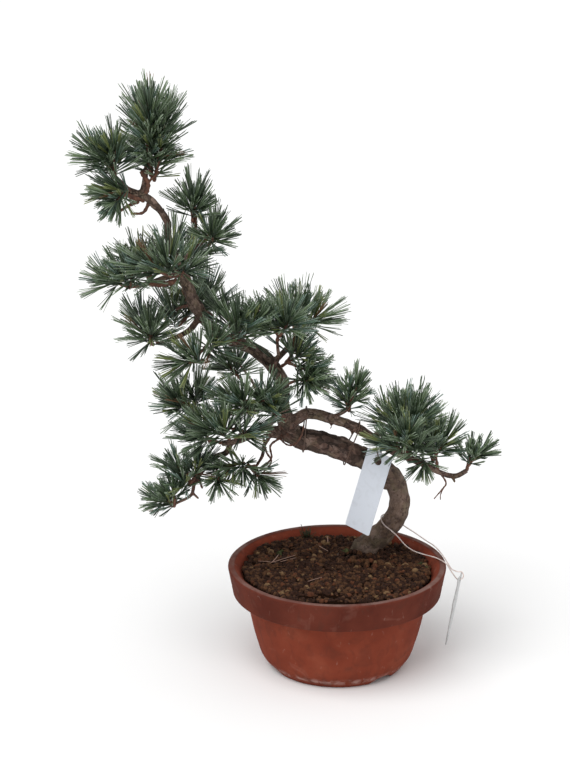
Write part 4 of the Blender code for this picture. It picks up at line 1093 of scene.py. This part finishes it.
# Lumps that stand out: place, radius and kind, and the places where moss grows, in millimetres
LUMPS = ((47, -66, 4.0, TAN), (46, 12, 6.0, 1), (52, 6, 4.5, TAN), (39, 8, 4.0, 2), (-71, -49, 3.0, TAN),
         (-27, -68, 4.2, 2), (60, 20, 4.0, 1))
MOSSY = ((6, 36), (12, 31), (84, 9), (88, 2), (44, 47), (-60, 42))
MOSS_REACH = 6
# Dry needles on the soil, as where each begins and ends, and a tuft of weed by the far rim
DRY_NEEDLES = (((-80, 14), (-62, 12)), ((-66, 6), (-57, 33)), ((-67, 6), (-43, 27)), ((-57, 11), (-42, 22)),
               ((-20, 59), (-8, 44)), ((-8, 78), (-7, 65)), ((2, 22), (16, 33)), ((-30, -40), (-16, -30)))
DRY_NEEDLE_COLOUR = (0.330, 0.195, 0.150)
WEED_PLACE = (-30, 84)
WEED_COLOUR = (0.045, 0.050, 0.020)
WEED_BLADES = 26


def grain_shape(rng):
    """One lumpy granule about a unit in radius, as points and faces."""
    bm = bmesh.new()
    bmesh.ops.create_icosphere(bm, subdivisions=2, radius=1.0)
    offset = Vector((rng.uniform(0, 50), rng.uniform(0, 50), rng.uniform(0, 50)))
    squash = Vector((rng.uniform(0.8, 1.15), rng.uniform(0.8, 1.15), rng.uniform(0.7, 1.0)))
    for vertex in bm.verts:
        vertex.co *= 1 + 0.32 * noise.noise(vertex.co * 1.3 + offset)
        vertex.co = Vector(a * b for a, b in zip(vertex.co, squash))
    bm.verts.index_update()
    points = np.array([vertex.co for vertex in bm.verts])
    faces = np.array([[vertex.index for vertex in face.verts] for face in bm.faces])
    bm.free()
    return points, faces


def random_turn(rng):
    axis = Vector((rng.gauss(0, 1), rng.gauss(0, 1), rng.gauss(0, 1))).normalized()
    return np.array(Matrix.Rotation(rng.uniform(0, 2 * math.pi), 3, axis))


def soil_swell(x, y):
    """How far the lumpy soil rises above its level by the trunk, all in millimetres."""
    near, far = SOIL_CALM
    away = math.hypot(x - TRUNK_LINE[0][0], y - TRUNK_LINE[0][1])
    share = clamped((away - near) / (far - near))
    return share * (SOIL_RISE + SOIL_LUMP_HEIGHT * noise.noise(Vector((x, y, 0)) / SOIL_LUMP))


def heap(x, y):
    """How high the granules are heaped round the trunk's foot, in millimetres."""
    away = math.hypot(x - HEAP_PLACE[0], y - HEAP_PLACE[1]) - HEAP_AWAY
    uneven = 0.8 + noise.noise(Vector((x, y, 5)) / 9)
    return HEAP_HEIGHT * uneven * math.exp(-(away / HEAP_WIDTH) ** 2)


def soil_places(rng):
    """Place in millimetres from the pot's axis, radius and kind of each granule of the top layer."""
    weights = [row[3] for row in GRAIN_KINDS]
    places = []
    rows = int(SOIL_RADIUS / GRAIN_SPACING) + 1
    for row in range(-rows, rows + 1):
        for column in range(-rows, rows + 1):
            x = (column + 0.5 * (row % 2)) * GRAIN_SPACING + rng.uniform(-1, 1)
            y = row * GRAIN_SPACING * 0.87 + rng.uniform(-1, 1)
            small, large = GRAIN_RADIUS
            radius = small + (large - small) * rng.random() ** SMALLER_MORE
            kind = rng.choices(range(len(weights)), weights)[0]
            if math.hypot(x, y) > SOIL_RADIUS - radius + 1:
                continue
            if any(math.dist((x, y), spot) < MOSS_REACH * rng.random() for spot in MOSSY):
                kind = MOSS
            level = SOIL_TOP + soil_swell(x, y) + heap(x, y)
            places.append((x, y, level - rng.uniform(*GRAIN_SINK), radius, kind))
    for x, y, radius, kind in LUMPS:
        places.append((x, y, SOIL_TOP + soil_swell(x, y) + radius * 0.15, radius, kind))
    return places


def litter_rows(rng):
    """Dry needles on the soil and the blades of the weed, as rows for needle_arrays."""
    dry, weed = [], []
    for start, end in DRY_NEEDLES:
        start, end = (mm(x, y, SOIL_TOP + soil_swell(x, y) + rng.uniform(2.0, 3.4)) for x, y in (start, end))
        bend = Vector((rng.uniform(-0.1, 0.1), rng.uniform(-0.1, 0.1), 0))
        dry.append((start, (end - start).normalized(), Vector((0, 0, 1)), bend, (end - start).length))
    for i in range(WEED_BLADES):
        root = mm(WEED_PLACE[0] + rng.gauss(0, 3.2), WEED_PLACE[1] + rng.gauss(0, 1.5), SOIL_TOP)
        way = Vector((rng.gauss(0, 0.45), rng.gauss(0, 0.3), 1)).normalized()
        length = rng.uniform(6, 15) * MM if i else 23 * MM
        weed.append((root, way, heading(rng.uniform(0, 360)), heading(rng.uniform(0, 360)) * 0.25, length))
    return dry, weed


def make_soil(surfaces):
    """A layer of granules over the soil, with what lies and grows on it."""
    rng = random.Random(7)
    shapes = [grain_shape(rng) for _ in range(GRAIN_SHAPES)]
    soil = Joined()
    for x, y, z, radius, kind in soil_places(rng):
        points, faces = rng.choice(shapes)
        placed = points @ random_turn(rng).T * radius * MM + np.array(mm(x, y, z))
        soil.add(placed, [faces], kind)
    extras = [plain_material("dry_needle", DRY_NEEDLE_COLOUR, 0.8), plain_material("weed", WEED_COLOUR, 0.7)]
    for number, rows in enumerate(litter_rows(rng)):
        points, faces, _ = needle_arrays(rows)
        soil.add(points, faces, len(surfaces) + number)
    return soil.build("soil_granules", [*surfaces, *extras])


# Labels, string and ties

TAG_SIZE = (29, 0.8, 86)
TAG_HOLE_RADIUS = 4.4
TAG_HOLE_DROP = 9
TAG_HOLE_PLACE = (39.5, -2, 214)
TAG_DOWN = (-22, 3, -83)
TAG_ACROSS = (24, -17, -8.7)
# Lines on the tag and in front of it that needles keep clear of, in millimetres from its hole
TAG_CLEAR_LINES = ((-11, 60), (-4, 60), (3, 60), (11, 24))
TAG_CLEAR_STEP = 10
TAG_CLEAR_TOP = 6
TAG_CLEAR_FOOT = -72
TAG_CLEAR_RADIUS = 5 * MM
SLIP_OUTLINE = ((-6.5, 3), (1, 3.2), (1.8, 7), (4, 7), (4.2, -13), (5.8, -26), (5.5, -48),
                (1.2, -72), (-1.2, -72), (-4.4, -50), (-6, -29.5), (-8, -26), (-6, -13), (-4.8, -5),
                (-6.5, -1))
SLIP_THICKNESS = 1.2
SLIP_HOLE_RADIUS = 2.2
SLIP_HOLE_PLACE = (124.5, 2.5, 86)
SLIP_FOOT_PLACE = (112, 0, 14)
SLIP_TURN = 68
STRING_RADIUS = 0.42
STRING_PLY_OFFSET = 0.3
STRING_PITCH = 3.2
STRING_STEP = 0.5
STRING_LOOP_RADIUS = 14.8
STRING_SNUG = 1.2
STRING_LOOP = ((-95, 130), (-130, 134.5), (-165, 138), (-200, 139.5), (-240, 139), (-280, 137),
               (-320, 133), (-350, 129))
STRING_OUT = ((81, 45, 120), (93, 43, 112), (100, 37, 109.3), (104, 30, 107.6), (108, 14, 107),
              (111.6, 3, 104), (116, 0, 98), (122, 2.5, 94.2), (126.5, 4.5, 93), (128.5, 4.5, 89))
STRING_BACK = ((127.2, 3.6, 86.2), (124.5, 2.5, 86), (121.6, 1, 86.8), (116, -3, 95.5),
               (109.5, -4.5, 105.8), (101.5, 8, 106.6), (95, 17, 105.3), (87, 26, 104.3),
               (78.7, 30, 106.1), (70.2, 27, 113.3), (61.8, 23.5, 124.5))
WIRE_RADIUS = 0.7
WIRE_SLACK = 1.3
WIRE_STEP = 1.5
WIRE_CORNERS = 9
TAG_WIRE_BEND = 3.6
TIE_RIGHT_PLACES = ((10, 17, 217), (19, -11, 249))
TIE_LEFT_PLACES = ((-34, 12, 233), (-32, 2, 261.5))
TAG_TIE_BOUGH_PLACE = (38, -13, 236)


def frame_of(across, down, origin):
    """A placing matrix whose X runs across, whose Z runs up and whose origin is given."""
    up = -down.normalized()
    across = (across - up * across.dot(up)).normalized()
    turn = Matrix((across, up.cross(across), up)).transposed()
    return Matrix.Translation(origin) @ turn.to_4x4()


def tag_frame():
    return frame_of(Vector(TAG_ACROSS), Vector(TAG_DOWN), mm(*TAG_HOLE_PLACE))


def tag_clearance():
    """Lines with a radius that cover the tag and the space in front of it."""
    place = tag_frame()
    lines = []
    for x, reach in TAG_CLEAR_LINES:
        for depth in range(0, reach + 1, TAG_CLEAR_STEP):
            ends = [place @ (Vector((x, -depth, z)) * MM) for z in (TAG_CLEAR_TOP, TAG_CLEAR_FOOT)]
            lines.append((*ends, TAG_CLEAR_RADIUS))
    return lines


def circle_points(radius, count=32):
    turns = [2 * math.pi * k / count for k in range(count)]
    return [(radius * math.cos(turn), radius * math.sin(turn)) for turn in turns]


def card(name, outline, hole_radius, thickness, place, surface, edge=0.12):
    """A flat card with a round hole at its own origin and slightly rounded edges."""
    curve = bpy.data.curves.new(name, "CURVE")
    curve.dimensions = "2D"
    curve.fill_mode = "BOTH"
    curve.extrude = (thickness / 2 - edge) * MM
    curve.bevel_depth = edge * MM
    curve.bevel_resolution = 1
    curve.offset = -edge * MM
    for points in (outline, circle_points(hole_radius)):
        spline = curve.splines.new("POLY")
        spline.points.add(len(points) - 1)
        for point, (x, z) in zip(spline.points, points):
            point.co = (x * MM, z * MM, 0, 1)
        spline.use_cyclic_u = True
    made = bpy.data.objects.new(name, curve)
    bpy.context.scene.collection.objects.link(made)
    made.matrix_world = place @ Matrix.Rotation(math.pi / 2, 4, "X")
    made = bake(made)
    made.data.materials.clear()
    made.data.materials.append(surface)
    return made


def make_tag(surface):
    width, thickness, length = TAG_SIZE
    half, top, foot, corner = width / 2, TAG_HOLE_DROP, TAG_HOLE_DROP - length, 2
    outline = []
    for x, z, turns in ((half, top, (0, 90)), (-half, top, (90, 180)), (-half, foot, (180, 270)), (half, foot, (270, 360))):
        centre_x = x - math.copysign(corner, x)
        centre_z = z - math.copysign(corner, z)
        for k in range(5):
            turn = math.radians(turns[0] + (turns[1] - turns[0]) * k / 4)
            outline.append((centre_x + corner * math.cos(turn), centre_z + corner * math.sin(turn)))
    made = card("bare_name_tag", outline, TAG_HOLE_RADIUS, thickness, tag_frame(), surface)
    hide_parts("name_tag")
    return made


def make_slip(surface):
    across = heading(SLIP_TURN)
    down = mm(*SLIP_FOOT_PLACE) - mm(*SLIP_HOLE_PLACE)
    place = frame_of(across, down, mm(*SLIP_HOLE_PLACE))
    made = card("bare_slip_label", SLIP_OUTLINE, SLIP_HOLE_RADIUS, SLIP_THICKNESS, place, surface)
    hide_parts("slip_label")
    return made


def closed_samples(route, step):
    """Evenly curved samples round a closed route, in the frame."""
    ring = [route[-1], *route, route[0], route[1]]
    samples = [mm(*sample[:3]) for sample in catmull_rom(ring, step)]
    start = min(range(len(samples) // 2), key=lambda i: (samples[i] - mm(*route[0])).length)
    half = range(len(samples) // 2)
    end = len(samples) - 1 - min(half, key=lambda i: (samples[-1 - i] - mm(*route[0])).length)
    return samples[start:end]


def string_route(trunk):
    """Closed route of the label's string: round the trunk, over the rim and through the label."""
    loop = []
    for turn, height in STRING_LOOP:
        centre = next(place for place in trunk.fine_places() if place.z >= height * MM)
        spot = centre + heading(turn) * STRING_LOOP_RADIUS * MM
        middle, thick, _ = nearest(trunk, spot)
        snug = middle + (spot - middle).normalized() * (thick + STRING_SNUG * MM) - POT_AXIS
        loop.append(tuple(snug / MM))
    return loop + list(STRING_OUT) + list(STRING_BACK)


def make_string(trunk, surface):
    """The string: two plies twisted round each other along its closed route."""
    samples = closed_samples(string_route(trunk), STRING_STEP * MM)
    count = len(samples)
    steps = [(samples[(i + 1) % count] - samples[i]).length for i in range(count)]
    twists = round(sum(steps) / (STRING_PITCH * MM))
    string = Joined()
    for ply in range(2):
        run = 0.0
        places = []
        side = Vector((0, 0, 1))
        for i, place in enumerate(samples):
            axis = (samples[(i + 1) % count] - samples[i - 1]).normalized()
            side = (side - axis * side.dot(axis)).normalized()
            turn = 2 * math.pi * twists * run / sum(steps) + math.pi * ply
            out = side * math.cos(turn) + axis.cross(side) * math.sin(turn)
            places.append(place + out * STRING_PLY_OFFSET * MM)
            run += steps[i]
        string.add(*tube(places, [STRING_RADIUS * MM] * count, 6, closed=True))
    made = string.build("twisted_string", [surface])
    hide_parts("label_string")
    return made


def belt_route(centre_a, radius_a, centre_b, radius_b, across):
    """Closed route of a wire drawn tight round two round limbs, in millimetres."""
    along = centre_b - centre_a
    apart = along.length
    along.normalize()
    across = (across - along * across.dot(along)).normalized()
    lean = math.asin((radius_a - radius_b) / apart)
    route = []
    for centre, radius, first, last in ((centre_a, radius_a, math.pi / 2 - lean, math.pi * 1.5 + lean),
                                        (centre_b, radius_b, -math.pi / 2 + lean, math.pi / 2 - lean)):
        for i in range(WIRE_CORNERS):
            turn = first + (last - first) * i / (WIRE_CORNERS - 1)
            point = centre + (along * math.cos(turn) + across * math.sin(turn)) * radius - POT_AXIS
            route.append(tuple(point / MM))
    return route


def nearest(limb, place):
    """The limb's centre, radius and direction where it passes nearest to a place."""
    centre = min(limb.fine_places(), key=lambda spot: (spot - place).length)
    i = min(range(len(limb.places) - 1), key=lambda k: (limb.places[k] - place).length)
    return centre, limb.radii[i], (limb.places[i + 1] - limb.places[i]).normalized()


def tie_routes(trunk, bough):
    """Routes of the two ties and of the tag's wire loop, by the node that each replaces."""
    spare = (WIRE_RADIUS + WIRE_SLACK) * MM
    routes = {}
    for name, (low, high) in (("tie_right", TIE_RIGHT_PLACES), ("tie_left", TIE_LEFT_PLACES)):
        low, thick, run = nearest(trunk, mm(*low))
        high, slim, _ = nearest(bough, mm(*high))
        routes[name] = belt_route(low, thick + spare, high, slim + spare, run.cross(high - low))
    high, slim, run = nearest(bough, mm(*TAG_TIE_BOUGH_PLACE))
    drop = TAG_HOLE_RADIUS * MM - 3 * GAP - WIRE_RADIUS * MM + TAG_WIRE_BEND * MM
    hang = tag_frame() @ Vector((0, 0, drop))
    routes["tag_wire"] = belt_route(hang, TAG_WIRE_BEND * MM, high, slim + spare, run.cross(high - hang))
    return routes


def make_ties(limbs, surface):
    made = []
    for name, route in tie_routes(limbs["trunk"], limbs["bough_right"]).items():
        samples = closed_samples(route, WIRE_STEP * MM)
        tie = Joined()
        tie.add(*tube(samples, [WIRE_RADIUS * MM] * len(samples), 8, closed=True))
        made.append(tie.build(f"wire_{name}", [surface]))
        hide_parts(name)
    return made


# Studio

def make_studio():
    """A plain pale floor, soft light and a white surround."""
    bm = bmesh.new()
    bmesh.ops.create_grid(bm, x_segments=1, y_segments=1, size=30)
    mesh = bpy.data.meshes.new("floor")
    bm.to_mesh(mesh)
    bm.free()
    floor = bpy.data.objects.new("floor", mesh)
    bpy.context.scene.collection.objects.link(floor)
    mesh.materials.append(plain_material("pale_floor", (0.86, 0.86, 0.86), 0.9))
    world = bpy.data.worlds.new("surround")
    bpy.context.scene.world = world
    world.use_nodes = True
    sky = world.node_tree.nodes["Background"]
    sky.inputs["Color"].default_value = (1, 1, 1, 1)
    sky.inputs["Strength"].default_value = SKY_STRENGTH
    for name, turn, strength, softness in LAMPS:
        lamp = bpy.data.lights.new(name, "SUN")
        lamp.energy = strength
        lamp.angle = math.radians(softness)
        light = bpy.data.objects.new(name, lamp)
        light.rotation_euler = Vector(turn).to_track_quat("-Z", "Y").to_euler()
        bpy.context.scene.collection.objects.link(light)


def make_view():
    view = bpy.context.scene.view_settings
    view.view_transform = "Standard"
    view.look = "None"


def make_camera():
    lens = bpy.data.cameras.new("camera")
    lens.lens = CAMERA_LENS
    lens.sensor_width = CAMERA_SENSOR
    lens.clip_end = 100
    camera = bpy.data.objects.new("camera", lens)
    camera.location = mm(*CAMERA_PLACE)
    camera.rotation_euler = (math.pi / 2 - CAMERA_PITCH, 0, 0)
    bpy.context.scene.collection.objects.link(camera)
    bpy.context.scene.camera = camera


def finish_piece(piece):
    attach(piece, BODY)


def main():
    make_view()
    make_camera()
    make_studio()
    limbs = plant_limbs()
    wire = wire_material()
    needle_surfaces = []
    for name, outer, inner, _ in NEEDLE_COLOURS:
        needle_surfaces.append(plain_material(f"{name}_outer", outer, 0.4))
        needle_surfaces.append(plain_material(f"{name}_inner", inner, 0.5))
    grain_surfaces = [grain_material(name, dark, light) for name, dark, light, _ in GRAIN_KINDS]

    finish_piece(make_pot(clay_material()))
    # The soil underneath gets the painted shade of the gaps between the granules
    soil_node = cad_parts["soil"]
    soil_node.data.materials.clear()
    shade = plain_material("soil_shade", SOIL_SHADE, 1.0)
    shade.node_tree.nodes["Principled BSDF"].inputs["Specular IOR Level"].default_value = 0.0
    soil_node.data.materials.append(shade)
    finish_piece(make_soil(grain_surfaces))
    finish_piece(make_wood(limbs, bark_material()))
    for piece, slot in make_crown(limbs, twig_material(), needle_surfaces):
        finish_piece(piece)
    tag_surface = plastic_material("tag_plastic", (0.68, 0.72, 0.79), (0.56, 0.59, 0.64), 0.5)
    slip_surface = plastic_material("slip_plastic", (0.52, 0.53, 0.53), (0.24, 0.25, 0.22), 0.55)
    finish_piece(make_tag(tag_surface))
    finish_piece(make_slip(slip_surface))
    finish_piece(make_string(limbs["trunk"], string_material()))
    for piece in make_ties(limbs, wire):
        finish_piece(piece)


main()
